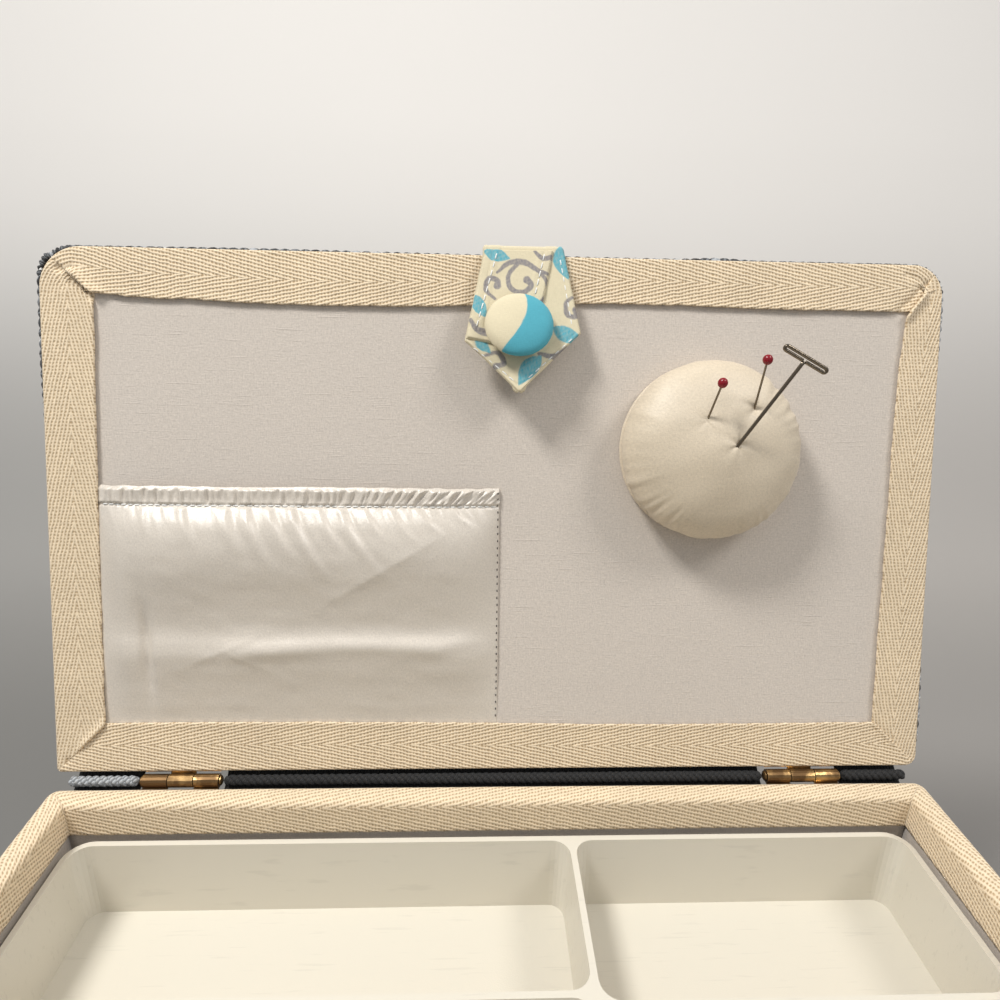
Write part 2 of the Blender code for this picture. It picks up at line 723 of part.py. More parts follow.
def cushion_profile():
    """The pincushion's half outline: flat below, drawn in at the foot, and crowned above."""
    points = [
        (CUSHION_RADIUS * CUSHION_FOOT_SHARE, 0.0),
        (CUSHION_RADIUS * (1 + CUSHION_FOOT_SHARE) / 2, CUSHION_HEIGHT * CUSHION_GIRTH_SHARE / 2),
    ]
    for step in range(CROWN_STEPS):
        angle = math.pi / 2 * step / CROWN_STEPS
        radius = CUSHION_RADIUS * math.cos(angle) ** CUSHION_FULLNESS
        rise = CUSHION_GIRTH_SHARE + (1 - CUSHION_GIRTH_SHARE) * math.sin(angle)
        points.append((radius, CUSHION_HEIGHT * rise))
    points.append((CUSHION_RADIUS * CUSHION_TOP_SHARE, CUSHION_HEIGHT))
    return points


def lid_place(place):
    """A point given from the lid's middle and its lining's face, in the lid's own frame."""
    return Vector((place[0], LID_MIDDLE + place[1], LINING_FACE + place[2]))


def make_pincushion(lid):
    """A crowned satin pad with pleats drawn in at its foot, on a covered disc."""
    centre = lid_place((CUSHION_X, CUSHION_Y, GAP))
    profile = ((CUSHION_BOARD_RADIUS, 0.0), (CUSHION_BOARD_RADIUS, CUSHION_BOARD))
    turned("pincushion_board", profile, CARD, lid, BOARD_DISC_STEPS, centre)
    base = centre + Vector((0.0, 0.0, CUSHION_BOARD + GAP))
    loops = []
    for radius, height in cushion_profile():
        fade = max(1.0 - height / (CUSHION_HEIGHT * CUSHION_PLEAT_REACH_SHARE), 0.0)
        loop = []
        for step in range(CUSHION_STEPS):
            angle = 2 * math.pi * step / CUSHION_STEPS
            pleat = 1.0 - CUSHION_PLEAT_SHARE * fade * (0.5 + 0.5 * math.cos(CUSHION_PLEATS * angle))
            reach = radius * pleat
            loop.append(base + Vector((reach * math.cos(angle), reach * math.sin(angle), height)))
        loops.append(loop)
    return loops_to_solid("pincushion", loops, IVORY_SATIN, lid)


def pin_axis(pin):
    """A pin's outward direction and the middle of its head, in the lid's own frame."""
    entry, head = (lid_place(place) for place in pin)
    return (head - entry).normalized(), head


def pin_shaft_profile(radius, length, start):
    """A wire with a tapered point, from the point up to just short of the head."""
    return (
        (POINT_RADIUS, -length),
        (radius, POINT_LENGTH - length),
        (radius, start),
    )


def pin_hole(name, pin, radius, length, lid):
    """The way that a pin leaves in the cushion, a little wider and longer than the pin."""
    direction, head = pin_axis(pin)
    profile = ((radius + GAP, -length - GAP), (radius + GAP, 0.0))
    return turned(name, profile, STEEL, lid, PIN_STEPS, head, direction)


def make_pins(lid, cushion):
    """Two ball-headed pins and a T-pin, each in its own hole in the cushion."""
    for number, pin in enumerate(BALL_PINS, 1):
        direction, head = pin_axis(pin)
        profile = pin_shaft_profile(BALL_SHAFT_RADIUS, BALL_PIN_LENGTH, -BALL_RADIUS - GAP)
        turned(f"ball_pin_{number}_shaft", profile, STEEL, lid, PIN_STEPS, head, direction)
        ball = []
        for step in range(HALF_ROUND_STEPS + 1):
            angle = BALL_HALF_ANGLE * (2 * step / HALF_ROUND_STEPS - 1)
            ball.append((BALL_RADIUS * math.cos(angle), BALL_RADIUS * math.sin(angle)))
        turned(f"ball_pin_{number}_head", ball, RED_GLASS, lid, SMALL_STEPS, head, direction)
        name = f"helper_ball_hole_{number}"
        cut(cushion, pin_hole(name, pin, BALL_SHAFT_RADIUS, BALL_PIN_LENGTH, lid))
    direction, head = pin_axis(T_PIN)
    profile = pin_shaft_profile(T_SHAFT_RADIUS, T_PIN_LENGTH, 0.0)
    t_pin = turned("t_pin", profile, STEEL, lid, PIN_STEPS, head, direction)
    combine(t_pin, t_pin_head(head, direction, lid), "UNION")
    cut(cushion, pin_hole("helper_t_pin_hole", T_PIN, T_SHAFT_RADIUS, T_PIN_LENGTH, lid))


def t_pin_head(head, direction, lid):
    """The flat looped wire across a T-pin's top, as a bar with round ends."""
    across = Vector((1.0, 0.0, 0.0))
    across = (across - direction * across.dot(direction)).normalized()
    side = direction.cross(across)
    frame = Matrix((across, side, direction)).transposed()
    half = T_HEAD_LENGTH / 2 - T_HEAD_WIDTH / 2
    outline = []
    for sign in (1, -1):
        for step in range(HALF_ROUND_STEPS + 1):
            angle = math.pi * (step / HALF_ROUND_STEPS - sign / 2)
            x = sign * half + T_HEAD_WIDTH / 2 * math.cos(angle)
            outline.append((x, T_HEAD_WIDTH / 2 * math.sin(angle)))
    loops = [
        [head + frame @ Vector((x, y, z)) for x, y in outline]
        for z in (-T_SHAFT_RADIUS, T_SHAFT_RADIUS)
    ]
    return loops_to_solid("helper_t_pin_head", loops, STEEL, lid)


def tab_outline(width_root, width, length, point, start):
    """A tab's outline in its own plane: narrow at the root, wide lower down, then pointed."""
    shoulder = length - point
    return [
        (-width_root / 2, start),
        (width_root / 2, start),
        (width / 2, shoulder),
        (0.0, length),
        (-width / 2, shoulder),
    ]


def button_profile():
    """The covered button's half outline: a turned-in edge and a low dome."""
    points = [(BUTTON_RADIUS * BUTTON_BACK_SHARE, 0.0)]
    for step in range(HALF_ROUND_STEPS):
        angle = math.pi / 2 * step / HALF_ROUND_STEPS
        rise = BUTTON_EDGE_SHARE + (1 - BUTTON_EDGE_SHARE) * math.sin(angle)
        points.append((BUTTON_RADIUS * math.cos(angle) ** BUTTON_FULLNESS, -BUTTON_HEIGHT * rise))
    return points


def make_tab(lid):
    """The strap on the lid, and the two layers, button and magnet of the tab that swings on it."""
    x = (TAB_OFFSET - TAB_ROOT_WIDTH / 2, TAB_OFFSET + TAB_ROOT_WIDTH / 2)
    top = LID_SKIN_OUTSIDE - GAP
    front = LID_FRONT + GAP
    section = [
        (LID_FRONT - STRAP_REACH, top),
        (front, top),
        (front, LID_FACE),
        (front + STRAP, LID_FACE),
        (front + STRAP, top - STRAP / 2),
        (front + STRAP / 2, top - STRAP),
        (LID_FRONT - STRAP_REACH, top - STRAP),
    ]
    loops = [[(side, y, z) for y, z in section] for side in x]
    loops_to_solid("tab_strap", loops, PRINTED_COTTON, lid)
    tab = make_frame(
        "tab_axis", (TAB_OFFSET, TAB_AXIS_Y, TAB_AXIS_HEIGHT), math.pi - TAB_REST_ANGLE, lid
    )
    under = tab_outline(TAB_ROOT_WIDTH, TAB_WIDTH, TAB_LENGTH, TAB_POINT, TAB_START)
    plate("tab_under_layer", under, (0.0, TAB_LAYER), PRINTED_COTTON, tab)
    over = tab_outline(TAB_TOP_WIDTH, TAB_TOP_WIDTH, TAB_TOP_LENGTH, TAB_TOP_WIDTH / 4, TAB_START)
    plate("tab_top_layer", over, (-GAP - TAB_LAYER, -GAP), PRINTED_COTTON, tab)
    seat = -GAP - TAB_LAYER - GAP
    place = (0.0, BUTTON_PLACE, seat)
    turned("covered_button", button_profile(), BLUE_COTTON, tab, ROUND_STEPS, place)
    disc = ((MAGNET_RADIUS, TAB_LAYER + GAP), (MAGNET_RADIUS, TAB_LAYER + GAP + MAGNET))
    turned("closure_magnet", disc, STEEL, tab, ROUND_STEPS, (0.0, BUTTON_PLACE, 0.0))


def make_keeper():
    """The steel disc on the front that the tab's magnet meets when the lid is shut."""
    height = BODY_HEIGHT - TAB_AXIS_HEIGHT - BUTTON_PLACE * math.cos(TAB_LEAN)
    face = (TAB_OFFSET, -DEPTH / 2 - GAP, height)
    disc = ((MAGNET_RADIUS, 0.0), (MAGNET_RADIUS, KEEPER))
    turned("closure_keeper", disc, STEEL, None, ROUND_STEPS, face, (0, -1, 0))


def arm_outline():
    """A bar with round ends, from the pivot up to the grip, across and along."""
    radius = ARM_WIDTH / 2
    points = []
    for start, middle in ((math.pi, 0.0), (0.0, ARM_LENGTH)):
        for step in range(HALF_ROUND_STEPS + 1):
            angle = start + math.pi * step / HALF_ROUND_STEPS
            points.append((radius * math.cos(angle), middle + radius * math.sin(angle)))
    return points


def make_handle(skin):
    """A bail handle: two flat arms on shoulder screws, with a tapered grip riveted between."""
    handle = make_frame("handle_axis", (0.0, 0.0, PIVOT_HEIGHT), HANDLE_TRAVEL)
    for side, sign in (("left", -1), ("right", 1)):
        x = sorted((sign * ARM_INNER, sign * ARM_OUTER))
        loops = [[(face, across, along) for across, along in arm_outline()] for face in x]
        arm = loops_to_solid(f"{side}_handle_arm", loops, OLD_BRASS, handle)
        edge = arm.modifiers.new("edge", "BEVEL")
        edge.width = ARM_EDGE_ROUND
        edge.segments = 1
        edge.limit_method = "ANGLE"
        edge.angle_limit = math.radians(60)
        start = sign * (ARM_INNER - OVERRUN)
        for label, radius, along in (
            ("pivot", SHOULDER_RADIUS, 0.0),
            ("spigot", SPIGOT_RADIUS, ARM_LENGTH),
        ):
            profile = ((radius + GAP, 0.0), (radius + GAP, ARM + 2 * OVERRUN))
            place = (start, 0.0, along)
            name = f"helper_{side}_{label}"
            cut(arm, turned(name, profile, STEEL, handle, SMALL_STEPS, place, (sign, 0, 0)))
        make_pivot(side, sign, skin)
    body = ARM_INNER - GAP
    cap = ARM_OUTER + GAP
    half = (
        (GRIP_RADIUS, body - GRIP_TAPER),
        (GRIP_END_RADIUS, body),
        (SPIGOT_RADIUS, body),
        (SPIGOT_RADIUS, cap),
        (SPIGOT_CAP_RADIUS, cap),
        (SPIGOT_CAP_RADIUS, cap + SPIGOT_CAP / 2),
        (SPIGOT_RADIUS, cap + SPIGOT_CAP),
    )
    profile = [(radius, -along) for radius, along in reversed(half)] + list(half)
    turned("handle_grip", profile, CORD, handle, SMALL_STEPS, (0.0, 0.0, ARM_LENGTH), (1, 0, 0))


def make_pivot(side, sign, skin):
    """One handle pivot: a plate on the cord skin and a shoulder screw through to the board."""
    face = WIDTH / 2 + GAP
    long_half = BRACKET_LENGTH / 2 - BRACKET_RADIUS
    outline = []
    for end in (1, -1):
        for step in range(HALF_ROUND_STEPS + 1):
            angle = math.pi * (step / HALF_ROUND_STEPS + (1 - end) / 2)
            across = BRACKET_RADIUS * math.cos(angle)
            along = end * long_half + BRACKET_RADIUS * math.sin(angle)
            outline.append((across, PIVOT_HEIGHT + along))
    x = sorted((sign * face, sign * (face + BRACKET)))
    loops = [[(plane, across, along) for across, along in outline] for plane in x]
    bracket = loops_to_solid(f"{side}_handle_bracket", loops, OLD_BRASS)
    tip = WIDTH / 2 - BOARD_INSIDE + SCREW_TIP_INSET
    profile = (
        (SCREW_RADIUS, tip),
        (SCREW_RADIUS, ARM_INNER),
        (SHOULDER_RADIUS, ARM_INNER),
        (SHOULDER_RADIUS, ARM_OUTER + GAP),
        (SCREW_HEAD_RADIUS, ARM_OUTER + GAP),
    )
    for radius_share, rise_share in SCREW_DOME_SHARES:
        profile += ((SCREW_HEAD_RADIUS * radius_share, ARM_OUTER + GAP + SCREW_HEAD * rise_share),)
    place = (0.0, 0.0, PIVOT_HEIGHT)
    turned(f"{side}_pivot_screw", profile, OLD_BRASS, None, SMALL_STEPS, place, (sign, 0, 0))
    radius = SCREW_RADIUS + GAP
    bore = ((radius, tip - SCREW_TIP_INSET - OVERRUN), (radius, ARM_INNER + OVERRUN))
    hole = turned(f"helper_{side}_screw_bore", bore, STEEL, None, SMALL_STEPS, place, (sign, 0, 0))
    for piece in (bracket, skin, bpy.data.objects[f"{side}_board"]):
        cut(piece, hole)


def build():
    """Makes the basket at rest, its lid open."""
    clear_scene()
    lid = make_frame("lid_axis", (0.0, HINGE_Y, BODY_HEIGHT), math.pi - OPEN_ANGLE)
    hinge_seats = make_boards()
    skin = make_cord_skin(hinge_seats)
    make_linings()
    make_rim_tape()
    make_ledges()
    make_tray()
    make_hinges(lid)
    make_lid_panel(lid)
    make_lid_tape(lid)
    make_pocket(lid)
    cushion = make_pincushion(lid)
    make_pins(lid, cushion)
    make_tab(lid)
    make_keeper()
    make_handle(skin)


build()
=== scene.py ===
"""The looks of a sewing basket: woven cord outside, plain cotton inside, tape on every edge.

Shapes are numpy grids in metres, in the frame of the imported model. What is sewn to the lid is
worked out in the lid's own directions: across, up the lid from its hinges, and out of its face.
"""

import json
import math

import bmesh
import bpy
import numpy as np
from mathutils import Matrix, Vector


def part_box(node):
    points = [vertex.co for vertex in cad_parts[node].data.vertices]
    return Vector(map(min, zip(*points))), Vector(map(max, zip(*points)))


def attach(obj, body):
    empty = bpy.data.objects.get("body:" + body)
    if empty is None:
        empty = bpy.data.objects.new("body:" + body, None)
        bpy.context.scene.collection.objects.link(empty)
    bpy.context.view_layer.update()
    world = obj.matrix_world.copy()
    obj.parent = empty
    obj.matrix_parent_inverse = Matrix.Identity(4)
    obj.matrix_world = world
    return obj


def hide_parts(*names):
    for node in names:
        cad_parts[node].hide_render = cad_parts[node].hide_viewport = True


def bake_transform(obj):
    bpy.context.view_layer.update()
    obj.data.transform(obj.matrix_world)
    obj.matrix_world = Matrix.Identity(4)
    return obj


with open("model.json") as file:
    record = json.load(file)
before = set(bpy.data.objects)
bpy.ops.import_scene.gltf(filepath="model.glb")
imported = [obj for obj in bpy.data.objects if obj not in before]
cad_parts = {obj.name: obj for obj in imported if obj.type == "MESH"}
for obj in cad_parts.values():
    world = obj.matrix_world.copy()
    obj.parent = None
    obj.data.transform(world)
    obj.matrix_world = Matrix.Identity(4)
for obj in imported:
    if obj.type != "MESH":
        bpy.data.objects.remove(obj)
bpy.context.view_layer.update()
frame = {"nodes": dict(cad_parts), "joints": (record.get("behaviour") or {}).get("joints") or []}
JOINTS = {joint["name"]: joint for joint in frame["joints"]}
JOINT_WAYS = {
    name: np.array(joint["axis"]) / np.linalg.norm(joint["axis"])
    for name, joint in JOINTS.items()
}
MM = 0.001
# Points closer than this are merged
MERGE_DISTANCE = 0.001 * MM

# The lid's own directions: the unit vectors across it, up it and out of its inner face
LEAN = math.radians(15.0)
ACROSS_LID = np.array((1.0, 0.0, 0.0))
UP_LID = np.array((0.0, math.sin(LEAN), math.cos(LEAN)))
OUT_OF_LID = np.array((0.0, -math.cos(LEAN), math.sin(LEAN)))
HINGE = np.array(JOINTS["lid_hinge"]["pos_m"])
HALF_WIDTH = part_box("woven_body_skin")[1][0]
HALF_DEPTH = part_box("woven_body_skin")[1][1]
BODY_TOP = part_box("rim_tape")[1][2]
# The middle of its tape's face: the hinge's axis lies above the closed lid's tape and behind it
LID_MIDDLE = HINGE + HINGE[1] * UP_LID + (BODY_TOP - HINGE[2]) * OUT_OF_LID

# Heights on the lid, counted from its tape's face
TAPE = 0.9 * MM
LINING_FACE = -1.2 * MM
SKIN_BACK = -10.6 * MM

# Tape
TAPE_HALF_WIDTH = 152.5 * MM
TAPE_HALF_HEIGHT = 89.0 * MM
TAPE_WIDTH = 16.0 * MM
TURNED_OVER = 1.3 * MM
RIB_ALONG = 5.2 * MM
RIB_ACROSS = 1.2 * MM
RIB_DEPTH = 0.22 * MM
PICK = 1.15 * MM

# Woven cord
CORD_PITCH = 3.4 * MM
CORD_RADIUS = 1.35 * MM
CORD_WAVE = 0.75 * MM
# Points along each cord, and how far the weave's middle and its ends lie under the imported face
CORD_SAMPLES = 4
CORD_SINK = 1.25 * MM
CORD_END = 1.6 * MM
# The body's corner radii in front and behind; the lid's corners are all like those in front
FRONT_RADIUS = 10.0 * MM
BACK_RADIUS = 4.0 * MM


def lid_points(across, up, out):
    """World points from distances across, up and out of the lid, counted from its middle."""
    places = stacked(across, up, out)[..., None]
    ways = (ACROSS_LID, UP_LID, OUT_OF_LID)
    return LID_MIDDLE + sum(places[..., number, :] * way for number, way in enumerate(ways))


def smooth_step(value, low, high):
    """0 below low, 1 above high, and 3x^2 - 2x^3 between them."""
    share = np.clip((value - low) / (high - low), 0.0, 1.0)
    return share * share * (3.0 - 2.0 * share)


def bump_at(value, middle, width):
    """A bell of height 1: exp(-(x / width)^2)."""
    return np.exp(-(((value - middle) / width) ** 2))


def stacked(*parts):
    """Arrays that fit one another, side by side along a new last axis."""
    return np.stack(np.broadcast_arrays(*parts), -1)


def run_along(path):
    """The distance along a path at each of its places."""
    steps = np.linalg.norm(np.diff(path, axis=0), axis=1)
    return np.concatenate((np.zeros(1), np.cumsum(steps)))


def along_path(path, run, places):
    """The points of a path at distances along it."""
    return np.stack([np.interp(places, run, column) for column in path.T], -1)


def resample(path, count):
    """count points evenly spaced along a path."""
    run = run_along(path)
    return along_path(path, run, np.linspace(0, run[-1], count))


def soft_noise(x, y, size, seed, octaves=3):
    """Smooth noise from -1 to 1: sines of turned and shifted directions, each octave finer."""
    own = np.random.default_rng(seed)
    total = np.zeros(np.broadcast(x, y).shape)
    weight = 0.0
    for octave in range(octaves):
        scale = 2.0**octave / size
        for _ in range(5):
            angle = own.uniform(0, math.tau)
            shift = own.uniform(0, math.tau)
            stretch = own.uniform(0.6, 1.4) * scale * math.tau
            place = (x * math.cos(angle) + y * math.sin(angle)) * stretch
            total += np.sin(place + shift) / 2**octave
            weight += 0.6 / 2**octave
    return total / weight


def mesh_object(name, points, faces, uv=None, colours=None):
    """A smooth mesh at the origin from points and faces that all have as many corners."""
    points = np.asarray(points, np.float32).reshape(-1, 3)
    faces = np.asarray(faces, np.int32)
    corners = faces.shape[1]
    mesh = bpy.data.meshes.new(name)
    mesh.vertices.add(len(points))
    mesh.vertices.foreach_set("co", points.ravel())
    mesh.loops.add(faces.size)
    mesh.loops.foreach_set("vertex_index", faces.ravel())
    mesh.polygons.add(len(faces))
    mesh.polygons.foreach_set("loop_start", np.arange(0, faces.size, corners, dtype=np.int32))
    mesh.polygons.foreach_set("loop_total", np.full(len(faces), corners, np.int32))
    if uv is not None:
        layer = mesh.uv_layers.new(name="cloth")
        values = np.asarray(uv, np.float32).reshape(-1, 2)[faces.ravel()]
        layer.data.foreach_set("uv", values.ravel())
    if colours is not None:
        layer = mesh.color_attributes.new("dye", "FLOAT_COLOR", "POINT")
        rgba = np.ones((len(points), 4), np.float32)
        rgba[:, :3] = np.asarray(colours, np.float32).reshape(-1, 3)
        layer.data.foreach_set("color", rgba.ravel())
    mesh.update(calc_edges=True)
    mesh.validate()
    mesh.shade_smooth()
    obj = bpy.data.objects.new(name, mesh)
    bpy.context.scene.collection.objects.link(obj)
    return obj


def grid_faces(rows, columns, wrap=False):
    """Quads of a grid of points in rows. wrap joins the last column to the first."""
    index = np.arange(rows * columns).reshape(rows, columns)
    if wrap:
        index = np.hstack((index, index[:, :1]))
    quads = np.stack((index[:-1, :-1], index[:-1, 1:], index[1:, 1:], index[1:, :-1]), -1)
    return quads.reshape(-1, 4)


def grid_object(name, points, uv=None, colours=None, wrap=False, flip=False):
    """A surface through a grid of points, facing the other way where flip is set."""
    faces = grid_faces(points.shape[0], points.shape[1], wrap)
    if flip:
        faces = faces[:, ::-1]
    return mesh_object(name, points, faces, uv, colours)


def clean_mesh(obj, merge=True, fill=False):
    """Merges points that lie on one another, fills open ends and turns faces outwards."""
    shape = bmesh.new()
    shape.from_mesh(obj.data)
    if merge:
        bmesh.ops.remove_doubles(shape, verts=shape.verts, dist=MERGE_DISTANCE)
    if fill:
        bmesh.ops.holes_fill(shape, edges=[e for e in shape.edges if e.is_boundary], sides=0)
    bmesh.ops.recalc_face_normals(shape, faces=shape.faces)
    shape.to_mesh(obj.data)
    shape.free()
    obj.data.shade_smooth()
    return obj


def turned_object(name, points, uv=None, colours=None):
    """A closed shape from a grid that goes round: poles are merged and an open foot is filled."""
    return clean_mesh(grid_object(name, points, uv, colours, wrap=True), fill=True)


def thicken(obj, thickness):
    """Gives a cloth surface its thickness, behind the face that shows."""
    wall = obj.modifiers.new("thickness", "SOLIDIFY")
    wall.thickness = thickness
    wall.offset = -1.0
    wall.use_even_offset = False


def join(name, objects):
    """One object from several with like layers."""
    bpy.ops.object.select_all(action="DESELECT")
    for obj in objects:
        obj.select_set(True)
    bpy.context.view_layer.objects.active = objects[0]
    bpy.ops.object.join()
    objects[0].name = name
    objects[0].data.name = name
    return objects[0]


def tube(name, path, radius, sides=12):
    """A closed tube along a path: circles square to it, carried on without twist, and capped."""
    radius = np.broadcast_to(radius, (len(path),))
    way = np.gradient(path, axis=0)
    way /= np.linalg.norm(way, axis=1)[:, None]
    side = np.cross(way[0], (0.3, 0.5, 0.8))
    sides_of = []
    for direction in way:
        side = side - direction * side.dot(direction)
        side = side / np.linalg.norm(side)
        sides_of.append(side)
    sides_of = np.array(sides_of)
    other = np.cross(way, sides_of)
    turn = np.linspace(0, math.tau, sides, endpoint=False)[None, :, None]
    ring = sides_of[:, None, :] * np.cos(turn) + other[:, None, :] * np.sin(turn)
    points = path[:, None, :] + ring * radius[:, None, None]
    caps = [np.repeat(path[end, None, None], sides, 1) for end in (0, -1)]
    points = np.concatenate((caps[0], points, caps[1]))
    return clean_mesh(grid_object(name, points, wrap=True))


SHADER = "Principled BSDF"


class Term:
    """A number in a material. Arithmetic on it adds Math nodes to the material's tree."""

    def __init__(self, tree, socket):
        self.tree = tree
        self.socket = socket

    def math(self, operation, *others):
        node = self.tree.nodes.new("ShaderNodeMath")
        node.operation = operation
        for place, value in enumerate((self, *others)):
            plug(value, node.inputs[place])
        return Term(self.tree, node.outputs[0])

    def __add__(self, other):
        return self.math("ADD", other)

    def __sub__(self, other):
        return self.math("SUBTRACT", other)

    def __mul__(self, other):
        return self.math("MULTIPLY", other)

    def __truediv__(self, other):
        return self.math("DIVIDE", other)

    def __pow__(self, other):
        return self.math("POWER", other)

    def __abs__(self):
        return self.math("ABSOLUTE")

    def sin(self):
        return self.math("SINE")

    def nearest(self):
        return self.math("ROUND")

    def above(self, level):
        return self.math("GREATER_THAN", level)

    def ramp(self, low, high):
        """0 at low and below, 1 at high and above."""
        node = self.tree.nodes.new("ShaderNodeMapRange")
        node.interpolation_type = "SMOOTHSTEP"
        node.inputs["From Min"].default_value = low
        node.inputs["From Max"].default_value = high
        plug(self, node.inputs["Value"])
        return Term(self.tree, node.outputs[0])


def plug(value, socket):
    """Links a term to a socket, or sets the socket to a plain value."""
    if isinstance(value, Term):
        value.tree.links.new(value.socket, socket)
    else:
        socket.default_value = value


def feed(name, term):
    """Links a term to a socket of its material's shader."""
    plug(term, term.tree.nodes[SHADER].inputs[name])


def combined(terms, kind="ShaderNodeCombineXYZ"):
    """One vector or colour from up to three terms. The first isn't a plain number."""
    node = terms[0].tree.nodes.new(kind)
    for term, socket in zip(terms, node.inputs):
        plug(term, socket)
    return Term(terms[0].tree, node.outputs[0])


def new_finish(name, colour, roughness, metallic=0.0, **settings):
    """A material with one Principled shader. Settings are its sockets, by name."""
    material = bpy.data.materials.new(name)
    material.use_nodes = True
    inputs = material.node_tree.nodes[SHADER].inputs
    inputs["Base Color"].default_value = (*colour, 1.0)
    inputs["Roughness"].default_value = roughness
    inputs["Metallic"].default_value = metallic
    for key, value in settings.items():
        inputs[key.replace("_", " ")].default_value = value
    return material


def cloth_place(material):
    """The piece's own cloth coordinates in metres: along and across."""
    tree = material.node_tree
    layer = tree.nodes.new("ShaderNodeUVMap")
    layer.uv_map = "cloth"
    return split(Term(tree, layer.outputs[0]))[:2]


def object_place(material):
    """Object coordinates: across, back and up, in metres."""
    tree = material.node_tree
    return split(Term(tree, tree.nodes.new("ShaderNodeTexCoord").outputs["Object"]))


def split(vector):
    """The three terms of a vector."""
    node = vector.tree.nodes.new("ShaderNodeSeparateXYZ")
    plug(vector, node.inputs[0])
    return [Term(vector.tree, socket) for socket in node.outputs]


def noise(place, scale, detail=2.0, roughness=0.5):
    """Noise from 0 to 1 at a place of up to three terms, already stretched as it should be."""
    node = place[0].tree.nodes.new("ShaderNodeTexNoise")
    node.inputs["Scale"].default_value = scale
    node.inputs["Detail"].default_value = detail
    node.inputs["Roughness"].default_value = roughness
    plug(combined(place), node.inputs["Vector"])
    return Term(place[0].tree, node.outputs["Fac"])


def chance(term, seed):
    """One random number from 0 to 1 for each whole value of a term."""
    node = term.tree.nodes.new("ShaderNodeTexWhiteNoise")
    node.noise_dimensions = "2D"
    plug(combined((term, seed)), node.inputs["Vector"])
    return Term(term.tree, node.outputs["Value"])


def blend_colours(share, first, second, way="MIX"):
    """Two colours mixed by a share. Each is a colour or a term that carries one."""
    tree = next(value.tree for value in (share, second) if isinstance(value, Term))
    node = tree.nodes.new("ShaderNodeMix")
    node.data_type = "RGBA"
    node.blend_type = way
    plug(share, node.inputs[0])
    for value, socket in ((first, node.inputs[6]), (second, node.inputs[7])):
        plug(value if isinstance(value, Term) else (*value, 1.0), socket)
    return Term(tree, node.outputs[2])


def colour_steps(term, steps):
    """A colour for each stretch of a term: pairs of where a stretch starts and its colour."""
    node = term.tree.nodes.new("ShaderNodeValToRGB")
    node.color_ramp.interpolation = "CONSTANT"
    while len(node.color_ramp.elements) < len(steps):
        node.color_ramp.elements.new(0.5)
    for element, (start, colour) in zip(node.color_ramp.elements, steps):
        element.position = start
        element.color = (*colour, 1.0)
    plug(term, node.inputs[0])
    return Term(term.tree, node.outputs[0])


def raise_surface(height, distance, strength=1.0):
    """A bump from a height term of 0 to 1, over a distance in metres."""
    node = height.tree.nodes.new("ShaderNodeBump")
    node.inputs["Strength"].default_value = strength
    node.inputs["Distance"].default_value = distance
    plug(height, node.inputs["Height"])
    feed("Normal", Term(height.tree, node.outputs[0]))


def shade(colour, share, low, high):
    """A colour or colour term multiplied by a grey that runs from low to high with a share."""
    grey = combined([share * (high - low) + low] * 3, "ShaderNodeCombineColor")
    return blend_colours(1.0, colour, grey, "MULTIPLY")


def twill_finish():
    """Cream herringbone twill: ribs slant both ways from the tape's middle.

    The place in a rib is the distance along in rib lengths, plus the distance from the middle in
    rib widths. A rib is the sine of that place. The groove beside it is a row of dots, one to each
    weft pick, painted darker as shade, and fine noise frays both.
    """
    material = new_finish("cream_twill", CREAM, 0.95, Sheen_Weight=0.2)
    along, across = cloth_place(material)
    out = abs(across - TAPE_WIDTH / 2)
    wander = noise((along, across, 0.0), 260.0, 3.0, 0.6) * 0.85
    phase = along / RIB_ALONG + out / RIB_ACROSS + wander
    rib = (phase * math.tau).sin() * 0.5 + 0.5
    jitter = noise((along, across, 4.0), 700.0, 1.0) * 0.9
    picks = ((along / PICK + jitter) * math.tau).sin() * 0.5 + 0.5
    yarn = noise((along * 1500.0, across * 1500.0, 0.0), 1.0, 3.0, 0.7)
    fuzz = noise((along, across, 2.0), 620.0, 3.0, 0.75)
    cloud = noise((along, across, 0.0), 38.0, 3.0)
    cover = (rib * -1.0 + 1.0) * (picks * 0.75 + 0.30)
    lit = cover * -0.95 + yarn * 0.62 + 0.71
    # Painted shade: where the groove dots lie, the cream darkens to the groove's shade colour
    colour = blend_colours(lit.ramp(0.05, 1.05), TWILL_GROOVE_SHADE, CREAM)
    colour = shade(colour, fuzz, 0.76, 1.22)
    feed("Base Color", shade(colour, cloud, 0.90, 1.08))
    raise_surface(rib * 0.55 - cover * 0.5 + yarn * 0.6, RIB_DEPTH, 0.9)
    return material


